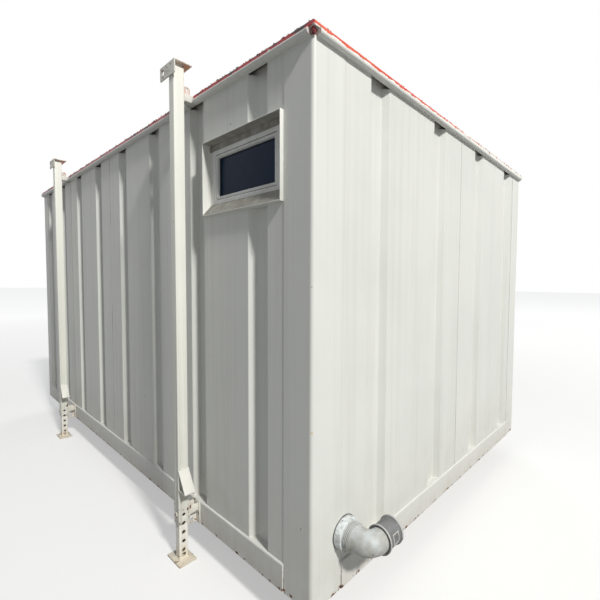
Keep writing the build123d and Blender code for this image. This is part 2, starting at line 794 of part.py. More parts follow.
# Pins: headed bars through the posts
pin_tail_length = post_size + pin_inner_reach
with BuildPart() as leg_pins:
    for x in leg_xs.values():
        with BuildSketch(Plane(origin=(x, -post_y - post_size / 2, pin_height), z_dir=(0, 1, 0))):
            Circle(pin_radius)
        extrude(amount=pin_tail_length)
        with BuildSketch(Plane(origin=(x, -post_y - post_size / 2, pin_height), z_dir=(0, -1, 0))):
            Circle(pin_head_radius)
        extrude(amount=pin_head_thickness)
    mirror(about=Plane.XZ)
save(leg_pins.part, "leg_pins")

# Inner legs with their feet: a row of holes in the end-facing walls, a pin slot in the other two
slot_bottom = pin_height - pin_radius - pin_seat
slot_top = pin_height + leg_travel + pin_radius + leg_end_play
slot_width = 2 * (pin_radius + pin_play)
hole_count = leg_holes_below_pin + int(leg_travel // leg_hole_pitch) + 1
for end, x in leg_xs.items():
    for face, y in (("front", -post_y), ("rear", post_y)):
        with BuildPart() as inner_leg:
            with BuildSketch(Plane((x, y, foot_thickness))):
                RectangleRounded(inner_size, inner_size, inner_corner_radius)
                RectangleRounded(
                    inner_size - 2 * inner_gauge, inner_size - 2 * inner_gauge, inner_corner_radius - inner_gauge,
                    mode=Mode.SUBTRACT,
                )
            extrude(amount=inner_top - foot_thickness)
            with BuildSketch(Plane(origin=(x, y, 0), x_dir=(0, 1, 0), z_dir=(1, 0, 0))):
                with Locations((0, leg_drain_height)):
                    RegularPolygon(leg_drain_radius, hole_sides, major_radius=False)
                with Locations(*((0, leg_first_hole_height + i * leg_hole_pitch) for i in range(hole_count))):
                    RegularPolygon(pin_radius + pin_play, hole_sides, major_radius=False)
            extrude(amount=inner_size, both=True, mode=Mode.SUBTRACT)
            with BuildSketch(Plane(origin=(x, y, 0), x_dir=(1, 0, 0), z_dir=(0, -1, 0))):
                with Locations((0, (slot_bottom + slot_top) / 2)):
                    SlotOverall(slot_top - slot_bottom, slot_width, rotation=90)
            extrude(amount=inner_size, both=True, mode=Mode.SUBTRACT)
            with BuildSketch(Plane((x, y, 0))):
                Rectangle(foot_length, foot_width)
            extrude(amount=foot_thickness)
        save(inner_leg.part, f"{face}_{end}_inner_leg")
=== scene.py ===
import json
import math

import bmesh
import bpy
from mathutils import Matrix, Vector

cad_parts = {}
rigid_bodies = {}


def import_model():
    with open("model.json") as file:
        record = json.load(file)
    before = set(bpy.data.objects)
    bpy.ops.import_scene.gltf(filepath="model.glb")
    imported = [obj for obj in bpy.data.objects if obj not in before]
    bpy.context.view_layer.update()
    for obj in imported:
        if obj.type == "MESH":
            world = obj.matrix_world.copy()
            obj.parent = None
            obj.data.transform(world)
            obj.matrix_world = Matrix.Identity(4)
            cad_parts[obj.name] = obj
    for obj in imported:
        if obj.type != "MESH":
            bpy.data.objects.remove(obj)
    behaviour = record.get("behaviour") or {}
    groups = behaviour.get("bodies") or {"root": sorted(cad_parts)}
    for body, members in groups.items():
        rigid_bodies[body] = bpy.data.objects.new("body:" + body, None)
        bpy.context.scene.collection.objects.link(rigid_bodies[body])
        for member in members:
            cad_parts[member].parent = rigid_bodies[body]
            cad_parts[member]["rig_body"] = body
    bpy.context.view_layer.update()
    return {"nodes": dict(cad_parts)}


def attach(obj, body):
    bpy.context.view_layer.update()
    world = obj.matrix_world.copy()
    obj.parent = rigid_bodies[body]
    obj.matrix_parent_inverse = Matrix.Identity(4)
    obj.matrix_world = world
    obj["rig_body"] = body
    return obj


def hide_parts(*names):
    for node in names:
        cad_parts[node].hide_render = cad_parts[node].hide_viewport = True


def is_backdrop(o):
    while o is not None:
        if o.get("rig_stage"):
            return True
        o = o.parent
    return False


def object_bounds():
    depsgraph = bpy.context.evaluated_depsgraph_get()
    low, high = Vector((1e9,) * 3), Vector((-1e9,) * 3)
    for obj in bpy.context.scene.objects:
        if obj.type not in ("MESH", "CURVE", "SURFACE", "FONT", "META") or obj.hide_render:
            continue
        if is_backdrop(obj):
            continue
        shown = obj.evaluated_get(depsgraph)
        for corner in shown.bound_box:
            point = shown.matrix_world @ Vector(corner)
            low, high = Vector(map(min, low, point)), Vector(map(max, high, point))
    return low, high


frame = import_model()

# The studio. A plain pale floor keeps the cabin's shadow under a white surround, and the camera stands
# where the photograph was taken, a little over a metre off the near corner, with a wide lens. A far lamp
# nearly in line with the window side models the pressings, and a broad weak one lights the hidden sides.
scene = bpy.context.scene
scene.view_settings.view_transform = "Standard"


def tint(red, green, blue):
    """A colour as it is read off a screen, 0 to 255, as the linear colour that a shader takes."""
    def linear(level):
        level /= 255
        return level / 12.92 if level <= 0.04045 else ((level + 0.055) / 1.055) ** 2.4
    return (linear(red), linear(green), linear(blue), 1.0)


def put(tree, kind, feeds=None, **settings):
    """Adds a node to a tree. Each feed is a plain value, a socket, or a node whose first output is linked in."""
    made = tree.nodes.new(kind)
    for name, value in settings.items():
        setattr(made, name, value)
    for key, value in (feeds or {}).items():
        if isinstance(value, bpy.types.Node):
            value = value.outputs[0]
        if isinstance(value, bpy.types.NodeSocket):
            tree.links.new(value, made.inputs[key])
        else:
            made.inputs[key].default_value = value
    return made


yaw, pitch, roll = 2.25592478, -0.0463995866, 0.0112792448
ahead = Vector((math.cos(yaw) * math.cos(pitch), math.sin(yaw) * math.cos(pitch), math.sin(pitch)))
level = Vector((math.sin(yaw), -math.cos(yaw), 0))
over = level.cross(ahead)
right = math.cos(roll) * level + math.sin(roll) * over
up = math.cos(roll) * over - math.sin(roll) * level
lens = bpy.data.cameras.new("camera")
lens.sensor_width = 36.0
lens.lens = 22.13
lens.shift_x = -0.1059
lens.clip_start, lens.clip_end = 0.05, 200.0
camera = bpy.data.objects.new("camera", lens)
facing = Matrix((right, up, -ahead)).transposed().to_4x4()
camera.matrix_world = Matrix.Translation((3.4920, -2.4434, 1.6506)) @ facing
scene.collection.objects.link(camera)
scene.camera = camera


def sums(tree, operation, first, *others):
    """A Math node on one value, or a chain of them that takes in the others one by one; returns a socket."""
    if not others:
        return put(tree, "ShaderNodeMath", {0: first}, operation=operation).outputs[0]
    for value in others:
        first = put(tree, "ShaderNodeMath", {0: first, 1: value}, operation=operation).outputs[0]
    return first


def plainly_seen(tree):
    """1 for what is looked at, directly, in gloss or through glass, and 0 for light on its way to the cabin."""
    rays = put(tree, "ShaderNodeLightPath").outputs
    return sums(tree, "MAXIMUM", rays["Is Camera Ray"], rays["Is Glossy Ray"], rays["Is Transmission Ray"])


world = bpy.data.worlds.new("surround")
scene.world = world
world.use_nodes = True
sky = world.node_tree
sky.nodes.clear()
soft_light = put(sky, "ShaderNodeBackground", {"Color": tint(238, 242, 249), "Strength": 0.27})
white = put(sky, "ShaderNodeBackground", {"Color": (1, 1, 1, 1), "Strength": 1.0})
either = put(sky, "ShaderNodeMixShader", {0: plainly_seen(sky), 1: soft_light, 2: white})
put(sky, "ShaderNodeOutputWorld", {"Surface": either})

lamps_aim = Vector((0, 0, 1.3))
for name, place, size, watts, colour in (
    ("key_lamp", (22.0, -4.3, 19.5), 2.6, 8300, (255, 253, 249)),
    ("rear_lamp", (-6.5, 8.5, 6.5), 7.0, 420, (246, 248, 252)),
):
    lamp = bpy.data.lights.new(name, "AREA")
    lamp.shape = "DISK"
    lamp.size = size
    lamp.energy = watts
    lamp.color = tint(*colour)[:3]
    holder = bpy.data.objects.new(name, lamp)
    holder.location = place
    holder.rotation_mode = "QUATERNION"
    holder.rotation_quaternion = (lamps_aim - Vector(place)).to_track_quat("-Z", "Y")
    scene.collection.objects.link(holder)


def here(tree):
    """The place on the piece, in the frame that all pieces share."""
    return put(tree, "ShaderNodeTexCoord").outputs["Object"]


def distance(tree, point, counted=(1, 1, 1)):
    """The distance from a point, or from the line through it along the axis that isn't counted."""
    off = put(tree, "ShaderNodeVectorMath", {0: here(tree), 1: point}, operation="SUBTRACT")
    off = put(tree, "ShaderNodeVectorMath", {0: off, 1: counted}, operation="MULTIPLY")
    return put(tree, "ShaderNodeVectorMath", {0: off}, operation="LENGTH").outputs["Value"]


def blank_material(name):
    """A new material and its tree, which is empty."""
    material = bpy.data.materials.new(name)
    material.use_nodes = True
    material.node_tree.nodes.clear()
    return material, material.node_tree


def mesh_piece(name, points, faces, edges=()):
    """A new object at the origin whose mesh has these points, edges and faces."""
    shape = bpy.data.meshes.new(name)
    shape.from_pydata([tuple(p) for p in points], list(edges), faces)
    shape.validate()
    made = bpy.data.objects.new(name, shape)
    scene.collection.objects.link(made)
    return made


square = ((-1, -1), (1, -1), (1, 1), (-1, 1))
floor_reach = 90.0
floor = mesh_piece("studio_floor", [(x * floor_reach, y * floor_reach, 0) for x, y in square], [(0, 1, 2, 3)])
floor_look, tree = blank_material("studio_floor")
matt = put(tree, "ShaderNodeBsdfDiffuse", {"Color": (0.31, 0.31, 0.305, 1)})
pale = put(tree, "ShaderNodeBsdfDiffuse", {"Color": (0.48, 0.48, 0.47, 1)})
lift_by = put(tree, "ShaderNodeMapRange", {
    "Value": distance(tree, (0, 0, 0)), "From Min": 4.0, "From Max": 18.0, "To Min": 0.44, "To Max": 0.78,
})
lift = put(tree, "ShaderNodeEmission", {"Color": (1, 1, 1, 1), "Strength": lift_by})
lifted = put(tree, "ShaderNodeAddShader", {0: pale, 1: lift})
either = put(tree, "ShaderNodeMixShader", {0: plainly_seen(tree), 1: matt, 2: lifted})
under = put(tree, "ShaderNodeNewGeometry").outputs["Backfacing"]
open_under = put(tree, "ShaderNodeBsdfTransparent")
either = put(tree, "ShaderNodeMixShader", {0: under, 1: either, 2: open_under})
put(tree, "ShaderNodeOutputMaterial", {"Surface": either})
floor.data.materials.append(floor_look)
floor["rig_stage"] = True


# The base rails are folded steel channels, mitred and welded into one ring that carries the cabin.
# They have the walls' grey paint, with stone chips and rust along the lower edge and dust on the ledge.
def times(tree, *values):
    """The product of values or sockets."""
    return sums(tree, "MULTIPLY", *values)


def plus(tree, *values):
    """The sum of values or sockets."""
    return sums(tree, "ADD", *values)


def ramp(tree, value, low, high, to_low=0.0, to_high=1.0):
    """Maps a value from one range to another and clamps it; returns the result's socket."""
    feeds = {"Value": value, "From Min": low, "From Max": high, "To Min": to_low, "To Max": to_high}
    return put(tree, "ShaderNodeMapRange", feeds, interpolation_type="SMOOTHSTEP").outputs[0]


def blend_colour(tree, factor, first, second):
    """Mixes two colours by a factor and returns the result's socket."""
    return put(tree, "ShaderNodeMix", {0: factor, 6: first, 7: second}, data_type="RGBA").outputs[2]


def axis(tree, name, vector=None):
    """One of the X, Y and Z of the place on the piece, or of another vector."""
    return put(tree, "ShaderNodeSeparateXYZ", {0: vector or here(tree)}).outputs[name]


def stretched(tree, scale):
    """The place on the piece, stretched by a scale along X, Y and Z."""
    return put(tree, "ShaderNodeMapping", {"Vector": here(tree), "Scale": scale})


def noise(tree, scale, detail=3.0, rough=0.55, stretch=None):
    """A noise value on the piece, even or stretched."""
    place = stretched(tree, stretch) if stretch else here(tree)
    feeds = {"Vector": place, "Scale": scale, "Detail": detail, "Roughness": rough}
    return put(tree, "ShaderNodeTexNoise", feeds).outputs["Fac"]


def patches(tree, scale, detail, rough, low, high, to_low=0.0, to_high=1.0):
    """Noise, sharpened between two of its levels."""
    return ramp(tree, noise(tree, scale, detail, rough), low, high, to_low, to_high)


def ragged(tree, value, sway, scale, detail=3.0, rough=0.55):
    """A distance made uneven by noise, so that the edge that follows it looks torn."""
    return plus(tree, value, times(tree, plus(tree, noise(tree, scale, detail, rough), -0.5), sway))


def new_group(name, inputs, outputs):
    """A shader group with named inputs, each with its value, and named outputs; returns it and its inputs."""
    group = bpy.data.node_groups.new(name, "ShaderNodeTree")
    for title, value in inputs.items():
        kind = "NodeSocketFloat" if isinstance(value, float) else "NodeSocketColor"
        group.interface.new_socket(title, in_out="INPUT", socket_type=kind).default_value = value
    for title in outputs:
        kind = "NodeSocketColor" if title == "Color" else "NodeSocketFloat"
        group.interface.new_socket(title, in_out="OUTPUT", socket_type=kind)
    return group, put(group, "NodeGroupInput").outputs


# Rust: brown with orange bloom, pitted
rust_group = new_group("rust", {}, ["Color", "Height"])[0]
pits = noise(rust_group, 240.0)
bloom = patches(rust_group, 38.0, 5.0, 0.65, 0.38, 0.66)
brown = blend_colour(rust_group, bloom, tint(70, 38, 24), tint(142, 78, 44))
brown = blend_colour(rust_group, ramp(rust_group, pits, 0.35, 0.6), tint(48, 28, 20), brown)
put(rust_group, "NodeGroupOutput", {"Color": brown, "Height": pits})

# Worn edges: a mask along the outer edges, broken up by noise, from the turn of the face under a small radius
edge_group, asked = new_group("worn_edges", {"Radius": 0.004, "Amount": 0.5, "Scale": 30.0}, ["Mask"])
tree = edge_group
rounded = put(tree, "ShaderNodeBevel", {"Radius": asked["Radius"]}, samples=4)
flat = put(tree, "ShaderNodeNewGeometry").outputs["Normal"]
turn = put(tree, "ShaderNodeVectorMath", {0: rounded, 1: flat}, operation="DOT_PRODUCT").outputs["Value"]
least = sums(tree, "SUBTRACT", 0.78, times(tree, asked["Amount"], 0.42))
broken = ramp(tree, sums(tree, "SUBTRACT", noise(tree, asked["Scale"], 5.0, 0.62), least), 0.0, 0.05)
put(tree, "NodeGroupOutput", {"Mask": times(tree, ramp(tree, turn, 0.995, 0.86), broken)})


def rust(tree):
    """The rust group's outputs."""
    return put(tree, "ShaderNodeGroup", node_tree=rust_group).outputs


# Weathered paint: chalky clouds, rain streaks, specks, chips and dust, with rust where the paint has gone
paint_group, asked = new_group("weathered_paint", {
    "Paint": tint(205, 204, 196), "Dust": tint(176, 158, 134), "Dust Amount": 0.4, "Dust From": 0.18,
    "Dust To": 0.7, "Streaks": 0.5, "Specks": 0.5, "Chips": 0.0, "Extra Rust": 0.0,
}, ["Color", "Roughness", "Height"])
tree = paint_group
clouds = noise(tree, 1.6, 4.0)
runs = noise(tree, 1.0, 5.0, 0.6, (26, 26, 0.45))
fine_runs = noise(tree, 1.0, 3.0, 0.5, (95, 95, 0.8))
colour = blend_colour(tree, ramp(tree, clouds, 0.36, 0.64, 0.0, 0.10), asked["Paint"], (1.0, 0.99, 0.96, 1))
streak = times(tree, ramp(tree, runs, 0.46, 0.66), asked["Streaks"], 0.42)
colour = blend_colour(tree, streak, colour, tint(152, 150, 143))
streak = times(tree, ramp(tree, fine_runs, 0.5, 0.68), asked["Streaks"], 0.22)
colour = blend_colour(tree, streak, colour, tint(232, 230, 221))
rise = ramp(tree, axis(tree, "Z"), asked["Dust To"], asked["Dust From"])
film = times(tree, rise, patches(tree, 9.0, 6.0, 0.6, 0.3, 0.7, 0.25, 1.0), asked["Dust Amount"])
colour = blend_colour(tree, film, colour, asked["Dust"])
cells = put(tree, "ShaderNodeTexVoronoi", {"Vector": stretched(tree, (1, 1, 0.75)), "Scale": 7.5}).outputs
lot = put(tree, "ShaderNodeSeparateColor", {0: cells["Color"]}).outputs["Red"]
dot = ramp(tree, ragged(tree, cells["Distance"], 0.05, 150.0), 0.040, 0.026)
specks = times(tree, dot, ramp(tree, lot, 0.74, 0.75), asked["Specks"])
colour = blend_colour(tree, times(tree, specks, 0.85), colour, tint(74, 66, 60))
least = sums(tree, "SUBTRACT", 0.80, times(tree, asked["Chips"], 0.32))
flaked = ramp(tree, sums(tree, "SUBTRACT", noise(tree, 26.0, 6.0, 0.65), least), 0.0, 0.02)
flaked = times(tree, flaked, ramp(tree, asked["Chips"], 0.01, 0.05))
bare = sums(tree, "MINIMUM", plus(tree, asked["Extra Rust"], flaked), 1.0)
rusty = rust(tree)
colour = blend_colour(tree, ramp(tree, bare, 0.02, 0.5, 0.0, 0.5), colour, tint(168, 120, 84))
put(tree, "NodeGroupOutput", {
    "Color": blend_colour(tree, ramp(tree, bare, 0.35, 0.6), colour, rusty["Color"]),
    "Roughness": sums(tree, "MINIMUM", plus(
        tree, 0.44, times(tree, film, 0.4), times(tree, bare, 0.4), ramp(tree, clouds, 0.35, 0.65, 0.0, 0.08)
    ), 0.95),
    "Height": plus(
        tree, times(tree, noise(tree, 420.0, 2.0), 0.12), times(tree, bare, -0.8),
        times(tree, bare, rusty["Height"], 0.7), times(tree, specks, -0.6), ramp(tree, runs, 0.3, 0.7, 0.0, 0.25),
    ),
})


def look(name, surface, relief_depth=0.0004, sockets=None):
    """A material whose colour, roughness and relief vary over the piece; even values go on its own sockets."""
    material, tree = blank_material(name)
    colour, rough, height = surface(tree)
    relief = put(tree, "ShaderNodeBump", {"Height": height, "Distance": relief_depth, "Strength": 1.0})
    feeds = {"Base Color": colour, "Roughness": rough, "Normal": relief, **(sockets or {})}
    put(tree, "ShaderNodeOutputMaterial", {"Surface": put(tree, "ShaderNodeBsdfPrincipled", feeds)})
    return material


def painted(
    name, paint, edges=(0.004, 0.5, 30.0), dust=(0.0, 0.18, 0.7), chips=0.12, specks=0.8, streaks=0.2,
    dust_colour=(176, 158, 134), rust_at=None, stain=None,
):
    """Weathered paint on steel. Worn edges have a radius, an amount and a scale, and dust an amount and heights."""
    def surface(tree):
        bare = put(tree, "ShaderNodeGroup", dict(enumerate(edges)), node_tree=edge_group).outputs["Mask"]
        if rust_at:
            bare = sums(tree, "MAXIMUM", bare, rust_at(tree))
        coat = put(tree, "ShaderNodeGroup", {
            "Paint": tint(*paint), "Dust": tint(*dust_colour), "Dust Amount": dust[0], "Dust From": dust[1],
            "Dust To": dust[2], "Streaks": streaks, "Specks": specks, "Chips": chips, "Extra Rust": bare,
        }, node_tree=paint_group).outputs
        colour = coat["Color"]
        if stain:
            where, stain_colour = stain(tree)
            colour = blend_colour(tree, where, colour, stain_colour)
        return colour, coat["Roughness"], coat["Height"]
    return look(name, surface)


def finish(material, *nodes):
    """Gives CAD nodes this material."""
    for node in nodes:
        shape = frame["nodes"][node].data
        if not shape.materials:
            shape.materials.append(material)
        for slot in frame["nodes"][node].material_slots:
            slot.material = material


def height_band(tree, low, high, fade):
    """A mask that is 1 between two heights and fades out above and below them."""
    z = axis(tree, "Z")
    return times(tree, ramp(tree, z, low - fade, low), ramp(tree, z, high + fade, high))


def rail_edge_rust(tree):
    """Chips that follow the rail's lower edge."""
    return times(tree, height_band(tree, 0.17, 0.190, 0.018), patches(tree, 34.0, 6.0, 0.65, 0.55, 0.60))


rail_paint = painted(
    "rail_paint", (207, 208, 203), edges=(0.006, 0.42, 30.0), dust=(0.3, 0.18, 0.34), chips=0.10, specks=0.6,
    rust_at=rail_edge_rust,
)
faces_of = ("front", "right", "rear", "left")
finish(rail_paint, *(f"{face}_rail" for face in faces_of))

# The floor: nine channel joists in grey primer between the long rails, with plywood boards laid on them.
# It is seen only from below and through the doorway, so road dirt and plain board faces are what show.
joist_primer = painted(
    "joist_primer", (118, 118, 116), edges=(0.003, 0.7, 30.0), dust=(0.6, 0.15, 0.34), chips=0.35, specks=0.2,
)
finish(joist_primer, "floor_joists")
board_length = 1.22


def board(name, first, second, grain_scale):
    """Board faces with grain along the cabin and a fine joint at each board's end."""
    def surface(tree):
        grain = noise(tree, 1.0, 8.0, 0.6, (grain_scale * 0.06, grain_scale, grain_scale))
        cloud = noise(tree, 2.2, 4.0)
        along = sums(tree, "PINGPONG", axis(tree, "X"), board_length / 2)
        joint = ramp(tree, sums(tree, "ABSOLUTE", plus(tree, along, -board_length / 2)), 0.003, 0.001)
        colour = blend_colour(tree, ramp(tree, grain, 0.35, 0.68), first, second)
        colour = blend_colour(tree, ramp(tree, cloud, 0.35, 0.7, 0.0, 0.25), colour, tint(120, 104, 86))
        colour = blend_colour(tree, times(tree, joint, 0.8), colour, tint(58, 50, 42))
        return colour, ramp(tree, cloud, 0.3, 0.7, 0.6, 0.8), plus(tree, grain, times(tree, joint, -3.0))
    return look(name, surface, 0.0005)


finish(board("floor_board", tint(150, 122, 88), tint(186, 158, 120), 42.0), "floor_deck")
lining_board = board("lining_board", tint(222, 220, 213), tint(228, 226, 220), 6.0)
finish(lining_board, "ceiling", *(f"{face}_lining" for face in faces_of))


# The walls are pressed steel sheets with deep upright recesses, welded to the rail. Folded corner panels lap
# them and run down over the rails' ends. The pale grey paint is chalky, with rain streaks and rusty specks.
def spot(tree, point, outer, inner, sway, scale, strength=1.0):
    """A ragged spot round a point."""
    return ramp(tree, ragged(tree, distance(tree, point), sway, scale, 4.0), outer, inner, 0.0, strength)


def corner_rust(tree):
    """Two rust spots on the near corner's fold, and chips along the panels' lower edge."""
    upper = spot(tree, (2.334, -1.371, 2.02), 0.0060, 0.0024, 0.02, 60.0)
    lower = spot(tree, (2.334, -1.371, 1.63), 0.0045, 0.0018, 0.02, 60.0)
    return sums(tree, "MAXIMUM", upper, lower, rail_edge_rust(tree))


def corner_chip(tree):
    """One small tan chip on the near corner's fold."""
    return spot(tree, (2.3352, -1.3715, 0.997), 0.010, 0.006, 0.012, 90.0, 0.75), tint(206, 182, 128)


wall_paint = painted(
    "wall_paint", (210, 212, 207), edges=(0.003, 0.12, 45.0), dust=(0.16, 0.30, 0.80), chips=0.0, specks=0.75,
    streaks=0.24,
)
finish(wall_paint, *(f"{face}_wall" for face in faces_of))
corner_paint = painted(
    "corner_paint", (212, 214, 209), edges=(0.004, 0.3, 38.0), dust=(0.16, 0.30, 0.80), chips=0.0,
    rust_at=corner_rust, stain=corner_chip,
)
finish(corner_paint, "front_right_corner", "rear_right_corner", "rear_left_corner", "front_left_corner")


def settle(made):
    """Turns an object's modifiers into its plain mesh."""
    bpy.context.view_layer.update()
    ready = made.evaluated_get(bpy.context.evaluated_depsgraph_get())
    shape = bpy.data.meshes.new_from_object(ready)
    made.modifiers.clear()
    made.data = shape


def mesh_tree(name, inputs):
    """An empty Geometry Nodes tree with geometry and named values in, and a finish; returns it and its inputs."""
    tree = bpy.data.node_groups.new(name, "GeometryNodeTree")
    tree.interface.new_socket("Geometry", in_out="INPUT", socket_type="NodeSocketGeometry")
    for title, value in inputs.items():
        kind = "NodeSocketFloat" if isinstance(value, float) else "NodeSocketInt"
        tree.interface.new_socket(title, in_out="INPUT", socket_type=kind).default_value = value
    tree.interface.new_socket("Finish", in_out="INPUT", socket_type="NodeSocketMaterial")
    tree.interface.new_socket("Geometry", in_out="OUTPUT", socket_type="NodeSocketGeometry")
    return tree, put(tree, "NodeGroupInput").outputs


def end_tree(tree, grown_parts, asked):
    """Ends a tree: its instances made real, with the finish that was asked for."""
    real = put(tree, "GeometryNodeRealizeInstances", {"Geometry": grown_parts})
    coated = put(tree, "GeometryNodeSetMaterial", {"Geometry": real, "Material": asked["Finish"]})
    put(tree, "NodeGroupOutput", {0: coated})


def grown(name, paths, tree, values, body="cabin", thickness=None):
    """A piece that a tree grows along paths of points, made a plain mesh that rides on a body."""
    points, edges = [], []
    for path in paths:
        edges += [(len(points) + i, len(points) + i + 1) for i in range(len(path) - 1)]
        points += path
    made = mesh_piece(name, points, [], edges)
    step = made.modifiers.new(name, "NODES")
    step.node_group = tree
    for item in tree.interface.items_tree:
        if item.in_out == "INPUT" and item.name in values:
            step[item.identifier] = values[item.name]
    if thickness:
        made.modifiers.new("thickness", "SOLIDIFY").thickness = thickness
    settle(made)
    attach(made, body)


# Sheet joints: low beads filled with paint, where two pressed sheets meet in the middle of a flat
seam_tree, asked = mesh_tree("painted_seam", {"Radius": 0.0012})
line = put(seam_tree, "GeometryNodeMeshToCurve", {"Mesh": asked["Geometry"]})
ring = put(seam_tree, "GeometryNodeCurvePrimitiveCircle", {"Resolution": 8, "Radius": asked["Radius"]})
bead = put(seam_tree, "GeometryNodeCurveToMesh", {"Curve": line, "Profile Curve": ring, "Fill Caps": True})
end_tree(seam_tree, bead, asked)


def dirt_and_shade_line(tree):
    """A dark line along a joint, darker here and there: caught dirt, and on the laps painted shade as well."""
    caught = noise(tree, 1.0, 5.0, stretch=(20, 20, 3.5))
    colour = blend_colour(tree, ramp(tree, caught, 0.38, 0.62), tint(166, 164, 157), tint(112, 108, 102))
    return colour, ramp(tree, caught, 0.3, 0.7, 0.5, 0.75), caught


rail_top, door_head, wall_top = 0.320, 2.406, 2.668
wall_mid_x, half_length, half_width = -0.1045, 2.440, 1.370
door_reach, joint_proud, corner_leg, lap_proud, lap_gap = 0.47, 0.0002, 0.190, 0.0006, 0.0004


def upright(x, y, foot=rail_top):
    """A straight line up a wall."""
    return [(x, y, foot), (x, y, wall_top)]


joint_paths = []
for x in (1.046, -0.148, -1.342):
    for side in (-1, 1):
        over_door = side > 0 and abs(x - wall_mid_x) < door_reach
        joint_paths.append(upright(x, side * (half_width + joint_proud), door_head if over_door else rail_top))
for side in (1, -1):
    joint_paths.append(upright(wall_mid_x + side * (half_length + joint_proud), 0.055))
joint_paint = look("joint_paint", dirt_and_shade_line, 0.0002)
grown("sheet_joints", joint_paths, seam_tree, {"Radius": 0.0011, "Finish": joint_paint})

# Laps: a dark line along each free edge of the corner panels, dirt and painted shade where the panel's step casts its
# shadow
lap_paths = []
for side_x in (-1, 1):
    for side_y in (-1, 1):
        beside_x, beside_y = half_length - corner_leg - lap_gap, half_width - corner_leg - lap_gap
        lap_paths.append(upright(wall_mid_x + side_x * beside_x, side_y * (half_width + lap_proud)))
        lap_paths.append(upright(wall_mid_x + side_x * (half_length + lap_proud), side_y * beside_y))
lap_shade_and_dirt = look("lap_shade_and_dirt", dirt_and_shade_line, 0.0002)
grown("corner_laps", lap_paths, seam_tree, {"Radius": 0.0010, "Finish": lap_shade_and_dirt})

# The roof: one pressed sheet with stiffening swages, its rim turned down on the walls.
# Dull grey paint holds ponding marks and dirt between the swages.
roof_paint = painted(
    "roof_paint", (158, 158, 152), edges=(0.004, 0.2, 30.0), dust=(0.55, 2.68, 2.74), dust_colour=(132, 122, 106),
    chips=0.15, specks=0.6, streaks=0.1,
)
finish(roof_paint, "roof_panel")


# The roof edge: a rolled white fascia with a red angle over it. The red has peeled back to the white
# undercoat, in scallops that grow towards the far end, and dark patches are left on the window side.
def open_corner(tree):
    """Brown on the fascia's cut ends at the cabin's corners."""
    out_x = sums(tree, "ABSOLUTE", plus(tree, axis(tree, "X"), -wall_mid_x))
    end_x = ramp(tree, out_x, half_length - 0.016, half_length - 0.0135)
    end_y = ramp(tree, sums(tree, "ABSOLUTE", axis(tree, "Y")), half_width - 0.016, half_width - 0.0135)
    return times(tree, end_x, end_y, patches(tree, 60.0, 5.0, 0.62, 0.40, 0.62, 0.10, 0.60)), tint(176, 134, 122)


edge_white = painted(
    "edge_white", (208, 209, 205), edges=(0.004, 0.22, 40.0), chips=0.1, stain=open_corner,
)
finish(edge_white, *(f"{face}_fascia" for face in faces_of))


def peeling(tree):
    """Red paint over white undercoat, lost from the lower edge up and more towards the far end."""
    y, z = axis(tree, "Y"), axis(tree, "Z")
    long_side = ramp(tree, sums(tree, "ABSOLUTE", y), half_width + 0.008, half_width + 0.014)
    scallops = put(tree, "ShaderNodeTexVoronoi", {"Vector": here(tree), "Scale": 34.0}).outputs["Distance"]
    low = times(tree, ramp(tree, z, 2.711, 2.696, 0.0, 0.30), ramp(tree, long_side, 0.0, 1.0, 1.0, 0.55))
    far = ramp(tree, y, -1.1, 0.9, -0.02, 0.30)
    torn = times(tree, noise(tree, 1.0, 7.0, 0.68, (14, 14, 30)), 0.9)
    gone = ramp(tree, plus(tree, low, far, times(tree, scallops, 0.10), torn), 0.73, 0.745)
    faded = blend_colour(tree, patches(tree, 7.0, 3.0, 0.55, 0.35, 0.7), tint(203, 64, 40), tint(219, 98, 68))
    sooted = plus(tree, noise(tree, 14.0, 6.0, 0.62), ramp(tree, z, 2.700, 2.714, -0.06, 0.08))
    crimson = blend_colour(tree, ramp(tree, sooted, 0.50, 0.55), tint(182, 36, 42), tint(52, 22, 34))
    red = blend_colour(tree, long_side, faded, crimson)
    greyed = patches(tree, 18.0, 5.0, 0.55, 0.58, 0.68)
    under = blend_colour(tree, greyed, tint(228, 225, 217), tint(160, 152, 144))
    sooty = times(tree, long_side, patches(tree, 19.0, 6.0, 0.65, 0.53, 0.57))
    under = blend_colour(tree, sooty, under, tint(58, 50, 50))
    under = blend_colour(tree, patches(tree, 11.0, 6.0, 0.62, 0.66, 0.70), under, rust(tree)["Color"])
    return blend_colour(tree, gone, red, under), ramp(tree, gone, 0.0, 1.0, 0.42, 0.62), times(tree, gone, -1.0)


finish(look("edge_red", peeling, 0.0008), "roof_capping")


def corner_upright_look(tree):
    """Crimson paint, sooty in patches."""
    left = patches(tree, 55.0, 5.0, 0.6, 0.44, 0.56)
    colour = blend_colour(tree, left, tint(56, 20, 26), tint(142, 26, 34))
    return colour, ramp(tree, left, 0.0, 1.0, 0.85, 0.5), rust(tree)["Height"]


# Inside each corner of the fascia: a short square upright with chamfered edges
bar_half, bar_flat, bar_foot, bar_head, bar_out = 0.007, 0.0055, 2.6685, 2.6935, 0.003
bar_outline = [
    (-bar_flat, -bar_half), (bar_flat, -bar_half), (bar_half, -bar_flat), (bar_half, bar_flat),
    (bar_flat, bar_half), (-bar_flat, bar_half), (-bar_half, bar_flat), (-bar_half, -bar_flat),
]
points, faces = [], []
for side_x in (-1, 1):
    for side_y in (-1, 1):
        corners = range(len(points), len(points) + len(bar_outline))
        tops = [corner + len(bar_outline) for corner in corners]
        x, y = wall_mid_x + side_x * (half_length + bar_out), side_y * (half_width + bar_out)
        points += [(x + dx, y + dy, z) for z in (bar_foot, bar_head) for dx, dy in bar_outline]
        faces += [tuple(reversed(corners)), tuple(tops)]
        faces += [(corners[i - 1], corners[i], tops[i], tops[i - 1]) for i in range(len(bar_outline))]
corner_uprights = mesh_piece("fascia_corner_uprights", points, faces)
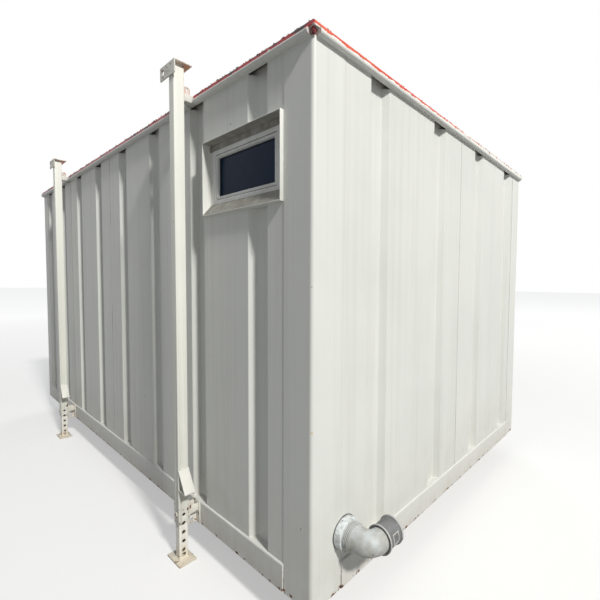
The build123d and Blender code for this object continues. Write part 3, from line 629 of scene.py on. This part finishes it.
corner_uprights.data.materials.append(look("corner_upright", corner_upright_look, 0.0005))
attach(corner_uprights, "cabin")


def spaced_along(tree, asked):
    """Points along the given edges, a pitch apart."""
    line = put(tree, "GeometryNodeMeshToCurve", {"Mesh": asked["Geometry"]})
    return put(tree, "GeometryNodeResampleCurve", {"Curve": line, "Length": asked["Pitch"]}, mode="LENGTH")


# Torn paint: curled flakes that stand off the capping's top edge, thick towards the far end
flake_tree, asked = mesh_tree("torn_paint", {"Pitch": 0.012, "Size": 0.009, "Share": 0.5, "Seed": 5})
sheet = put(flake_tree, "GeometryNodeMeshGrid", {
    "Size X": asked["Size"], "Size Y": asked["Size"], "Vertices X": 4, "Vertices Y": 3,
})
across = axis(flake_tree, "X", put(flake_tree, "GeometryNodeInputPosition"))
curl = 55.0
offset = put(flake_tree, "ShaderNodeCombineXYZ", {"Z": times(flake_tree, across, across, curl)})
curled = put(flake_tree, "GeometryNodeSetPosition", {"Geometry": sheet, "Offset": offset})
kept = put(flake_tree, "FunctionNodeRandomValue", {
    "Probability": asked["Share"], "Seed": asked["Seed"],
}, data_type="BOOLEAN")
turned, uneven = (
    put(flake_tree, "FunctionNodeRandomValue", {0: least, 1: most, "Seed": asked["Seed"]}, data_type="FLOAT_VECTOR")
    for least, most in (((-1.1, -1.3, -3.1), (1.1, 1.3, 3.1)), ((0.35, 0.3, 0.3), (1.25, 0.8, 1.0)))
)
laid = put(flake_tree, "GeometryNodeInstanceOnPoints", {
    "Points": spaced_along(flake_tree, asked), "Instance": curled, "Selection": kept.outputs[3],
    "Rotation": turned, "Scale": uneven,
})
end_tree(flake_tree, laid, asked)


def flakes(name, back, front, red_from):
    """Paint flakes: undercoat on some, the top coat on the rest."""
    def surface(tree):
        red = patches(tree, 60.0, 4.0, 0.55, red_from, red_from + 0.04)
        return blend_colour(tree, red, back, front), ramp(tree, red, 0.0, 1.0, 0.65, 0.5), red
    return look(name, surface, 0.0002)


flake_paint = flakes("flake_paint", tint(226, 222, 212), tint(190, 58, 44), 0.56)
sooty_flakes = flakes("sooty_flakes", tint(150, 36, 42), tint(66, 34, 40), 0.48)
edge_out, edge_z = 0.0185, 2.7148
edge_x, edge_y = half_length + edge_out, half_width + edge_out
edge_east, edge_west = wall_mid_x + edge_x, wall_mid_x - edge_x
far_edge = [[(edge_east, 0.25, edge_z), (edge_east, half_width, edge_z)]]
near_edges = [
    [(edge_east, -half_width, edge_z), (edge_east, 0.25, edge_z)],
    [(edge_west, -half_width, edge_z), (edge_west, half_width, edge_z)],
]
side_edges = [
    [(x0, side * edge_y, edge_z - 0.0015), (x1, side * edge_y, edge_z - 0.0015)]
    for side in (-1, 1) for x0, x1 in ((-2.50, -1.415), (-1.315, 1.27), (1.37, 2.33))
]
for name, paths, pitch, size, share, seed, paint in (
    ("torn_paint_far", far_edge, 0.011, 0.011, 0.75, 5, flake_paint),
    ("torn_paint_near", near_edges, 0.016, 0.008, 0.35, 11, flake_paint),
    ("torn_paint_sides", side_edges, 0.009, 0.010, 0.50, 23, sooty_flakes),
):
    values = {"Pitch": pitch, "Size": size, "Share": share, "Seed": seed, "Finish": paint}
    grown(name, paths, flake_tree, values, thickness=0.0003)


# The window surround: a welded steel box through the wall with a flange inside and a sill that falls
# outward. Painted with the walls; its sill, its head's underside and the flange above the frame are darkened brown
# with dust and painted shade.
same_point, flat_turn, sharp_turn = 2e-5, 0.6, 28


def smoothed(made, sharp_from):
    """Smooth shading, with edges kept sharp where faces turn more than an angle."""
    made.data.polygons.foreach_set("use_smooth", [True] * len(made.data.polygons))
    made.data.set_sharp_from_angle(angle=math.radians(sharp_from))


def eased(node, width, material, turn=30.0):
    """A merged copy of a CAD node with its edges eased, which stands for the node on the same body."""
    source = frame["nodes"][node]
    work = bmesh.new()
    work.from_mesh(source.data)
    bmesh.ops.remove_doubles(work, verts=work.verts, dist=same_point)
    bmesh.ops.dissolve_limit(work, angle_limit=math.radians(flat_turn), verts=work.verts, edges=work.edges)
    made = mesh_piece(node + "_eased", [], [])
    work.to_mesh(made.data)
    work.free()
    ease = made.modifiers.new("ease", "BEVEL")
    ease.width = width
    ease.segments = 2
    ease.limit_method = "ANGLE"
    ease.angle_limit = math.radians(turn)
    settle(made)
    spans = [(min(reach), max(reach)) for reach in zip(*(point.co for point in source.data.vertices))]
    for point in made.data.vertices:
        point.co = [min(max(value, low), high) for value, (low, high) in zip(point.co, spans)]
    smoothed(made, sharp_turn)
    made.data.materials.clear()
    made.data.materials.append(material)
    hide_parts(node)
    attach(made, source["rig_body"])


def surround_shade_and_grime(tree):
    """Painted shade with brown dust: under the head, on the flange above the frame and along the sill behind the lip.
    """
    faced = axis(tree, "Z", put(tree, "ShaderNodeNewGeometry").outputs["Normal"])
    head = times(tree, ramp(tree, faced, -0.4, -0.8), height_band(tree, 2.38, 2.5, 0.004), 0.85)
    flange = times(tree, ramp(tree, axis(tree, "Y"), -1.350, -1.344), height_band(tree, 2.383, 2.5, 0.004))
    sill = times(tree, ramp(tree, faced, 0.3, 0.5), height_band(tree, 2.018, 2.090, 0.004))
    mottled = patches(tree, 22.0, 6.0, 0.62, 0.30, 0.60, 0.70, 0.95)
    return times(tree, sums(tree, "MAXIMUM", head, flange, sill), mottled), tint(113, 110, 100)


surround_paint = painted(
    "surround_paint", (209, 210, 204), edges=(0.003, 0.35, 50.0), chips=0.05, specks=0.7, streaks=0.3,
    stain=surround_shade_and_grime,
)
eased("window_surround", 0.0012, surround_paint)

# The window: a white extruded plastic frame with a top-hung sash, black seals and a sealed glass unit.
# The plastic is dusty grey, and the glass carries painted shade for a dark room behind it.
window_centre_x, window_centre_z = 1.7755, 2.2345


def ring_shell(name, rings, material, sharp_from=None):
    """A closed shell through rings of points, each joined to the next and the last one to the first."""
    sides, faces = len(rings[0]), []
    for i in range(len(rings)):
        j = (i + 1) % len(rings)
        for k in range(sides):
            n = (k + 1) % sides
            faces.append((i * sides + k, i * sides + n, j * sides + n, j * sides + k))
    made = mesh_piece(name, [point for ring in rings for point in ring], faces)
    work = bmesh.new()
    work.from_mesh(made.data)
    bmesh.ops.recalc_face_normals(work, faces=work.faces)
    work.to_mesh(made.data)
    work.free()
    if sharp_from:
        smoothed(made, sharp_from)
    made.data.materials.append(material)
    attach(made, "cabin")
    return made


def mitred_ring(name, half_wide, half_high, profile, material):
    """A profile of (reach outward from the opening, depth in Y) points taken round a mitred rectangle."""
    return ring_shell(name, [
        [
            (window_centre_x + sx * (half_wide + reach), depth, window_centre_z + sz * (half_high + reach))
            for sx, sz in square
        ]
        for reach, depth in profile
    ], material)


def plastic(name, colour, dirt):
    """Extruded plastic: slightly uneven colour, dust and fine relief."""
    def surface(tree):
        cloud = noise(tree, 12.0, 5.0, 0.6)
        tone = blend_colour(tree, ramp(tree, cloud, 0.35, 0.7, 0.0, 0.6), colour, dirt)
        tone = blend_colour(tree, patches(tree, 90.0, 4.0, 0.7, 0.70, 0.76, 0.0, 0.5), tone, tint(110, 100, 88))
        return tone, ramp(tree, cloud, 0.3, 0.7, 0.34, 0.55), noise(tree, 300.0, 2.0)
    return look(name, surface, 0.0002)


window_plastic = plastic("window_plastic", tint(230, 232, 231), tint(204, 203, 196))
seal_rubber = plastic("seal_rubber", tint(36, 36, 38), tint(66, 62, 58))
frame_out, frame_in = -1.340, -1.282
window_frame = mitred_ring("window_frame_profile", 0.300, 0.150, [
    (-0.0005, frame_in), (-0.0005, frame_out + 0.002), (-0.0025, frame_out), (-0.0075, frame_out),
    (-0.0090, frame_out + 0.0015), (-0.0100, frame_out + 0.0015), (-0.0115, frame_out),
    (-0.0205, frame_out), (-0.0230, frame_out + 0.0025), (-0.0238, frame_out + 0.010), (-0.0238, frame_in),
], window_plastic)
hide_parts("window_frame")
sash = mitred_ring("window_sash_profile", 0.276, 0.126, [
    (-0.0025, frame_in), (-0.0025, frame_out + 0.006), (-0.0045, frame_out + 0.003), (-0.0120, frame_out + 0.002),
    (-0.0132, frame_out + 0.0035), (-0.0145, frame_out + 0.002), (-0.0165, frame_out + 0.003),
    (-0.0195, frame_out + 0.016), (-0.0195, frame_in),
], window_plastic)
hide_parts("window_sash")
for name, half_wide, half_high, low, high in (
    ("glass_seal", 0.2566, 0.1066, frame_out + 0.0145, frame_out + 0.0205),
    ("sash_seal", 0.2762, 0.1262, frame_out + 0.0065, frame_out + 0.0120),
):
    mitred_ring(name, half_wide, half_high, [
        (0.0002, high), (0.0002, low + 0.001), (-0.0008, low), (-0.0022, low), (-0.0030, low + 0.001),
        (-0.0030, high),
    ], seal_rubber)

# Sealed glass as a nearly opaque dark blue sheet, painted shade for the dark room behind it, with a faint film of
# dirt
glass_look, tree = blank_material("window_glass")
film = noise(tree, 14.0, 6.0, 0.6)
tone = blend_colour(tree, ramp(tree, film, 0.45, 0.75, 0.0, 0.12), tint(22, 42, 68), tint(58, 80, 106))
shader = put(tree, "ShaderNodeBsdfPrincipled", {
    "Base Color": tone, "Roughness": ramp(tree, film, 0.4, 0.75, 0.04, 0.16), "Transmission Weight": 0.12,
    "Specular IOR Level": 0.05, "Specular Tint": tint(128, 156, 200), "IOR": 1.45,
})
put(tree, "ShaderNodeOutputMaterial", {"Surface": shader})
finish(glass_look, "window_glass")

# The door, on the far long side: a steel frame through the wall with a flush steel-skinned leaf,
# three pin hinges and a lever handle on a plate. The paint is the walls' own, cleaner on the leaf.
door_paint = painted(
    "door_paint", (205, 206, 201), edges=(0.003, 0.35, 45.0), dust=(0.45, 0.34, 0.85), chips=0.05, specks=0.6,
    streaks=0.35,
)
eased("door_frame", 0.0012, door_paint)
eased("door_leaf", 0.0015, door_paint)


def brushed(tree):
    """Satin steel with a fine upright brush and finger grease."""
    brush = noise(tree, 1.0, stretch=(900, 900, 40))
    cloud = noise(tree, 24.0, 4.0)
    tone = blend_colour(tree, ramp(tree, brush, 0.3, 0.7), tint(150, 150, 148), tint(186, 186, 184))
    tone = blend_colour(tree, ramp(tree, cloud, 0.55, 0.75, 0.0, 0.35), tone, tint(120, 112, 100))
    return tone, ramp(tree, cloud, 0.3, 0.7, 0.28, 0.46), brush


eased("door_fittings", 0.0008, look("door_metal", brushed, 0.0001, {"Metallic": 0.9}), turn=40.0)

# The soil pipe: a grey plastic bend pushed through the wall, with a worn wall socket, a ribbed seal,
# and a loose coupling left open on its end. Sun has bleached it, its ribs are darker in their grooves, and mud has
# dried low on it.
soil_wall_x, soil_y, soil_z = 2.3355, -1.160, 0.454
bend_start, bend_radius = 0.109, 0.060
bend_run = bend_radius * math.pi / 2
bend_end = bend_start + bend_run
outlet_x = soil_wall_x + bend_start + bend_radius


def along_soil(s):
    """Point and direction at a distance along the soil pipe, measured from the wall's flat."""
    if s <= bend_start:
        return Vector((soil_wall_x + s, soil_y, soil_z)), Vector((1, 0, 0))
    if s >= bend_end:
        return Vector((outlet_x, soil_y + bend_radius + s - bend_end, soil_z)), Vector((0, 1, 0))
    turn = (s - bend_start) / bend_radius
    ahead = Vector((math.cos(turn), math.sin(turn), 0))
    centre = Vector((soil_wall_x + bend_start, soil_y + bend_radius, soil_z))
    return centre + bend_radius * Vector((ahead.y, -ahead.x, 0)), ahead


def soil_shell(name, profile, material, sides=64):
    """A closed shell of (distance along the pipe, radius) points round the pipe's line."""
    upward, rings = Vector((0, 0, 1)), []
    for s, radius in profile:
        centre, ahead = along_soil(s)
        across = ahead.cross(upward).normalized()
        turns = [2 * math.pi * k / sides for k in range(sides)]
        rings.append([centre + radius * (math.cos(a) * across + math.sin(a) * upward) for a in turns])
    return ring_shell(name, rings, material, sharp_from=38)


def soil_finish(name, colour, dirt, worn, mud, lips=None):
    """Sun-bleached plastic: worn white patches, darker grooves between the ribs, caked mud low down, dark spots, and
    paler lips where given.
    """
    def surface(tree):
        cloud = noise(tree, 16.0, 6.0, 0.62)
        tone = blend_colour(tree, ramp(tree, cloud, 0.36, 0.66), colour, dirt)
        x = axis(tree, "X")
        socket = ramp(tree, x, soil_wall_x + 0.050, soil_wall_x + 0.040)
        tone = blend_colour(tree, times(tree, socket, patches(tree, 42.0, 6.0, 0.66, 0.44, 0.56)), tone, worn)
        if lips:
            lip_reach = distance(tree, (outlet_x, 0, soil_z), (1, 0, 1))
            tone = blend_colour(tree, ramp(tree, lip_reach, 0.0672, 0.0690), tone, lips)
        # The grooves between the ribs are drawn darker
        reach = distance(tree, (0, soil_y, soil_z), (0, 1, 1))
        ribbed = times(tree, ramp(tree, x, 2.379, 2.382), ramp(tree, x, 2.4165, 2.4135))
        groove = times(tree, ribbed, ramp(tree, reach, 0.0640, 0.0618, 0.0, 0.7))
        tone = blend_colour(tree, groove, tone, tint(112, 108, 98))
        low = ramp(tree, axis(tree, "Z"), 0.46, 0.385, 0.0, 0.7)
        caked = times(tree, low, patches(tree, 30.0, 5.0, 0.55, 0.35, 0.6))
        tone = blend_colour(tree, caked, tone, mud)
        cells = put(tree, "ShaderNodeTexVoronoi", {"Vector": here(tree), "Scale": 34.0}).outputs
        lot = put(tree, "ShaderNodeSeparateColor", {0: cells["Color"]}).outputs["Green"]
        dark = times(tree, ramp(tree, lot, 0.70, 0.72), ramp(tree, cells["Distance"], 0.16, 0.11), 0.8)
        tone = blend_colour(tree, dark, tone, tint(58, 50, 44))
        height = plus(tree, noise(tree, 220.0, 4.0), times(tree, caked, 1.5))
        return tone, ramp(tree, cloud, 0.3, 0.7, 0.48, 0.72), height
    return look(name, surface)


bore, plug_end, ribs, rib_pitch, bend_steps = 0.0518, -0.088, 4, 0.009, 14
bend_profile = [
    (plug_end, 0.0550), (0.0015, 0.0550), (0.0020, 0.0738), (0.0035, 0.0755), (0.0060, 0.0760), (0.0200, 0.0753),
    (0.0380, 0.0748), (0.0420, 0.0738), (0.0440, 0.0705),
]
for rib in range(ribs):
    start = 0.0442 + rib * rib_pitch
    bend_profile += [
        (start, 0.0618), (start + 0.0008, 0.0634), (start + 0.0020, 0.0644), (start + 0.0038, 0.0644),
        (start + 0.0052, 0.0632), (start + 0.0064, 0.0616), (start + 0.0080, 0.0612),
    ]
bend_profile += [(0.0835, 0.0596), (0.0890, 0.0580), (0.0960, 0.0570)]
bend_profile += [(bend_start + bend_run * i / bend_steps, 0.0568) for i in range(bend_steps + 1)]
bend_profile += [(bend_end + 0.002, 0.0549), (bend_end + 0.043, 0.0549), (bend_end + 0.045, 0.0542)]
bend_profile += [(bend_end + 0.045, bore)]
bend_profile += [(bend_end - bend_run * i / bend_steps, bore) for i in range(bend_steps + 1)]
bend_profile += [(plug_end, bore)]
soil_bend = soil_shell("soil_bend_shell", bend_profile, soil_finish(
    "soil_bend_plastic", tint(190, 195, 196), tint(166, 166, 160), tint(218, 224, 225), tint(150, 142, 120)
))
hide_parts("soil_bend")

# The coupling: a lip at each end of a plain sleeve, and a stop in the middle of its bore
coupling_length = 0.102
lip = [
    (0, 0.0604), (0, 0.0690), (0.0014, 0.0700), (0.0065, 0.0700), (0.0085, 0.0690), (0.0105, 0.0652),
    (0.0140, 0.0634), (0.0200, 0.0628),
]
coupling_profile = lip + [(0.050, 0.0626)] + [(coupling_length - s, radius) for s, radius in reversed(lip)] + [
    (coupling_length - 0.0080, 0.0556), (0.0505, 0.0554), (0.0490, 0.0520), (0.0452, 0.0520), (0.0450, 0.0554),
    (0.0080, 0.0556),
]
coupling_profile = [(bend_end + s, radius) for s, radius in coupling_profile]
coupling = soil_shell("soil_coupling_shell", coupling_profile, soil_finish(
    "soil_coupling_plastic", tint(118, 120, 121), tint(100, 100, 99), tint(150, 154, 156), tint(116, 109, 96),
    lips=tint(176, 178, 176),
))
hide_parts("soil_coupling")

# A raised plain outline moulded on the coupling's outer side
outer_arc, inner_arc = (-1.070, -1.026, -0.30, 0.52), (-1.0655, -1.0305, -0.23, 0.45)
foot_radius, top_radius, arc_steps = 0.0618, 0.0640, 10
rings = []
for radius, (y0, y1, low, high) in (
    (foot_radius, outer_arc), (top_radius, outer_arc), (top_radius, inner_arc), (foot_radius, inner_arc),
):
    loop = [(y0, low + (high - low) * i / arc_steps) for i in range(arc_steps + 1)]
    loop += [(y1, high + (low - high) * i / arc_steps) for i in range(arc_steps + 1)]
    rings.append([(outlet_x + radius * math.cos(a), y, soil_z + radius * math.sin(a)) for y, a in loop])
ring_shell("coupling_outline", rings, soil_finish(
    "coupling_outline", tint(192, 193, 190), tint(172, 169, 162), tint(200, 200, 198), tint(150, 138, 116)
))

# Dark sealant pressed round the wall socket
soil_shell("soil_seal", [
    (0.0018, 0.0748), (0.0018, 0.0782), (0.0028, 0.0790), (0.0044, 0.0784), (0.0056, 0.0768), (0.0058, 0.0750),
], seal_rubber)


# The jack legs: square outer posts with angle caps for the crane's hooks, top arms with drilled ears,
# foot brackets and wedge jacking brackets, all welded up from plate. Cream paint, rusted at every edge.
def near_heights_rust(tree):
    """Rust that gathers near the posts' feet and, less, under their caps."""
    low = height_band(tree, 0.0, 0.30, 0.09)
    high = times(tree, height_band(tree, 2.80, 3.0, 0.05), 0.55)
    return times(tree, sums(tree, "MAXIMUM", low, high), patches(tree, 28.0, 6.0, 0.66, 0.585, 0.625))


def cap_underside(tree):
    """A tan bloom of rust on the caps' undersides, with patches of paint left."""
    down = ramp(tree, axis(tree, "Z", put(tree, "ShaderNodeNewGeometry").outputs["Normal"]), -0.6, -0.9)
    bloomed = patches(tree, 15.0, 5.0, 0.6, 0.55, 0.51, 0.10, 0.88)
    return times(tree, down, height_band(tree, 2.84, 3.0, 0.005), bloomed), tint(186, 152, 118)


def ear_stain(tree):
    """Red overspray gone pink on the ears above the arms."""
    patchy = patches(tree, 34.0, 5.0, 0.6, 0.42, 0.60, 0.10, 0.62)
    return times(tree, height_band(tree, 2.713, 3.0, 0.003), patchy), tint(212, 158, 142)


leg_dust = (0.3, 0.2, 0.5)
post_paint = painted(
    "post_paint", (218, 219, 210), edges=(0.005, 0.42, 24.0), dust=leg_dust, rust_at=near_heights_rust,
)
plate_paint = painted(
    "plate_paint", (211, 211, 202), dust=leg_dust, chips=0.22, rust_at=near_heights_rust, stain=cap_underside,
)
# The jacking brackets take a darker copy of the plate paint: painted shade that holds down the lamp light on their
# sloping faces
jacking_paint_shaded = painted("jacking_paint_shaded", (202, 202, 194), dust=leg_dust)
# The arms take a darker copy of the leg paint, painted shade for the shadow they stand in, with worn edges and pink
# overspray on the ears
arm_paint_shaded = painted("arm_paint_shaded", (204, 204, 196), edges=(0.005, 0.7, 36.0), chips=0.35, stain=ear_stain)
eased("leg_posts", 0.0008, post_paint)
eased("leg_caps", 0.0012, plate_paint)
eased("leg_brackets", 0.0012, plate_paint)
eased("jacking_brackets", 0.0012, jacking_paint_shaded)
eased("leg_arms", 0.0012, arm_paint_shaded)

# Weld runs: overlapping ripples along a path, as a hand-laid bead cools
weld_tree, asked = mesh_tree("weld_run", {"Pitch": 0.0028, "Radius": 0.0032, "Seed": 3})
ripple = put(weld_tree, "GeometryNodeMeshUVSphere", {"Segments": 8, "Rings": 5, "Radius": asked["Radius"]})
soft = put(weld_tree, "GeometryNodeSetShadeSmooth", {"Geometry": ripple})
uneven = put(weld_tree, "FunctionNodeRandomValue", {2: 0.82, 3: 1.12, "Seed": asked["Seed"]}, data_type="FLOAT")
laid = put(weld_tree, "GeometryNodeInstanceOnPoints", {
    "Points": spaced_along(weld_tree, asked), "Instance": soft, "Scale": uneven.outputs[1],
})
end_tree(weld_tree, laid, asked)

# Welds on each leg: cap to post, arm to post, ears to arm, gussets to post and pad, jacking plate to post, eye
leg_x, leg_y = {"right": 1.3205, "left": -1.3645}, {"front": -1.470, "rear": 1.470}
half_post, half_arm, gusset, wall_face = 0.030, 0.025, 0.006, 1.387
cap_foot, arm_foot, arm_top, eye_z = 2.859, 2.670, 2.710, 0.188
gusset_on_post, gusset_on_pad, jacking_edges, jacking_inset = (0.258, 0.316), (0.268, 0.306), (0.4300, 0.5548), 0.015
weld_paths = []
for side in (-1, 1):
    outer, inner, wall_side = side * (leg_y["rear"] + half_post), side * (leg_y["rear"] - half_post), side * wall_face
    for x in leg_x.values():
        west, east = x - half_post, x + half_post
        weld_paths.append([(a, y, cap_foot) for a, y in ((west, outer), (west, inner), (east, inner), (east, outer))])
        weld_paths.append([(x - half_arm, inner, arm_foot), (x + half_arm, inner, arm_foot)])
        for edge in (x - half_arm, x + half_arm):
            weld_paths.append([(edge, inner, arm_foot + 0.001), (edge, inner, arm_top - 0.001)])
        for ear in (-0.0210, -0.0130, 0.0130, 0.0210):
            weld_paths.append([(x + ear, inner - side * reach, arm_top) for reach in (0.002, 0.034)])
        for edge in (west, west + gusset, east - gusset, east):
            weld_paths.append([(edge, inner, z) for z in gusset_on_post])
            weld_paths.append([(edge, wall_side, z) for z in gusset_on_pad])
        for z in jacking_edges:
            weld_paths.append([(east, outer - side * jacking_inset, z), (east, inner + side * jacking_inset, z)])
        weld_paths.append([(x + edge, wall_side, eye_z) for edge in (-0.005, 0.005)])
weld_paint = painted(
    "weld_paint", (214, 210, 196), edges=(0.002, 0.5, 60.0), dust=(0.3, 0.0, 0.5), chips=0.55, specks=0.3,
    streaks=0.1,
)
grown("leg_welds", weld_paths, weld_tree, {
    "Pitch": 0.0030, "Radius": 0.0030, "Seed": 3, "Finish": weld_paint,
})


def rusted_steel(tree):
    """Bare steel gone brown, with a few bright rubbed places and cream paint left on the heads."""
    rusty = rust(tree)
    rubbed = patches(tree, 70.0, 5.0, 0.6, 0.60, 0.70)
    colour = blend_colour(tree, rubbed, rusty["Color"], tint(128, 122, 114))
    on_head = ramp(tree, sums(tree, "ABSOLUTE", axis(tree, "Y")), 1.4995, 1.5005)
    coat = times(tree, on_head, patches(tree, 85.0, 5.0, 0.62, 0.58, 0.52))
    colour = blend_colour(tree, coat, colour, tint(214, 210, 197))
    return colour, ramp(tree, rubbed, 0.0, 1.0, 0.85, 0.5), rusty["Height"]


eased("leg_pins", 0.0008, look("pin_steel", rusted_steel, 0.0006, {"Metallic": 0.1}), turn=40.0)

# The inner legs slide in the posts on their pins: square tube with a row of punched holes, welded to a
# foot plate. Rust rings each hole, and the foot is caked with the yard's dust.
hole_pitch, hole_start, foot_weld_reach, foot_weld_z = 0.054, 0.008, 0.0255, 0.0105


def hole_rust(tree):
    """Rings of rust round the row of holes, and bitten patches near the foot."""
    z = axis(tree, "Z")
    aside = plus(tree, sums(tree, "ABSOLUTE", axis(tree, "Y")), -leg_y["rear"])
    rise = sums(tree, "MODULO", plus(tree, z, hole_pitch / 2 - hole_start), hole_pitch)
    rise = plus(tree, rise, -hole_pitch / 2)
    gap = sums(tree, "SQRT", plus(tree, times(tree, aside, aside), times(tree, rise, rise)))
    ring = ramp(tree, ragged(tree, gap, 0.022, 70.0, 5.0, 0.6), 0.0125, 0.0095, 0.0, 0.46)
    ring = times(tree, ring, ramp(tree, z, 0.016, 0.020))
    foot = times(tree, height_band(tree, 0.0, 0.05, 0.06), patches(tree, 30.0, 6.0, 0.66, 0.61, 0.65))
    return sums(tree, "MAXIMUM", ring, foot)


leg_steel = painted(
    "leg_steel", (219, 217, 207), edges=(0.003, 0.35, 34.0), dust=(0.75, 0.015, 0.12), dust_colour=(208, 194, 168),
    chips=0.14, specks=0.7, streaks=0.25, rust_at=hole_rust,
)
for face, y in leg_y.items():
    for end, x in leg_x.items():
        eased(f"{face}_{end}_inner_leg", 0.0008, leg_steel)
        foot_ring = [
            (x + sx * foot_weld_reach, y + sy * foot_weld_reach, foot_weld_z) for sx, sy in square + square[:1]
        ]
        grown(f"{face}_{end}_foot_weld", [foot_ring], weld_tree, {
            "Pitch": 0.0034, "Radius": 0.0035, "Seed": 7, "Finish": weld_paint,
        }, body=f"{face}_{end}_leg")

low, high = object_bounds()
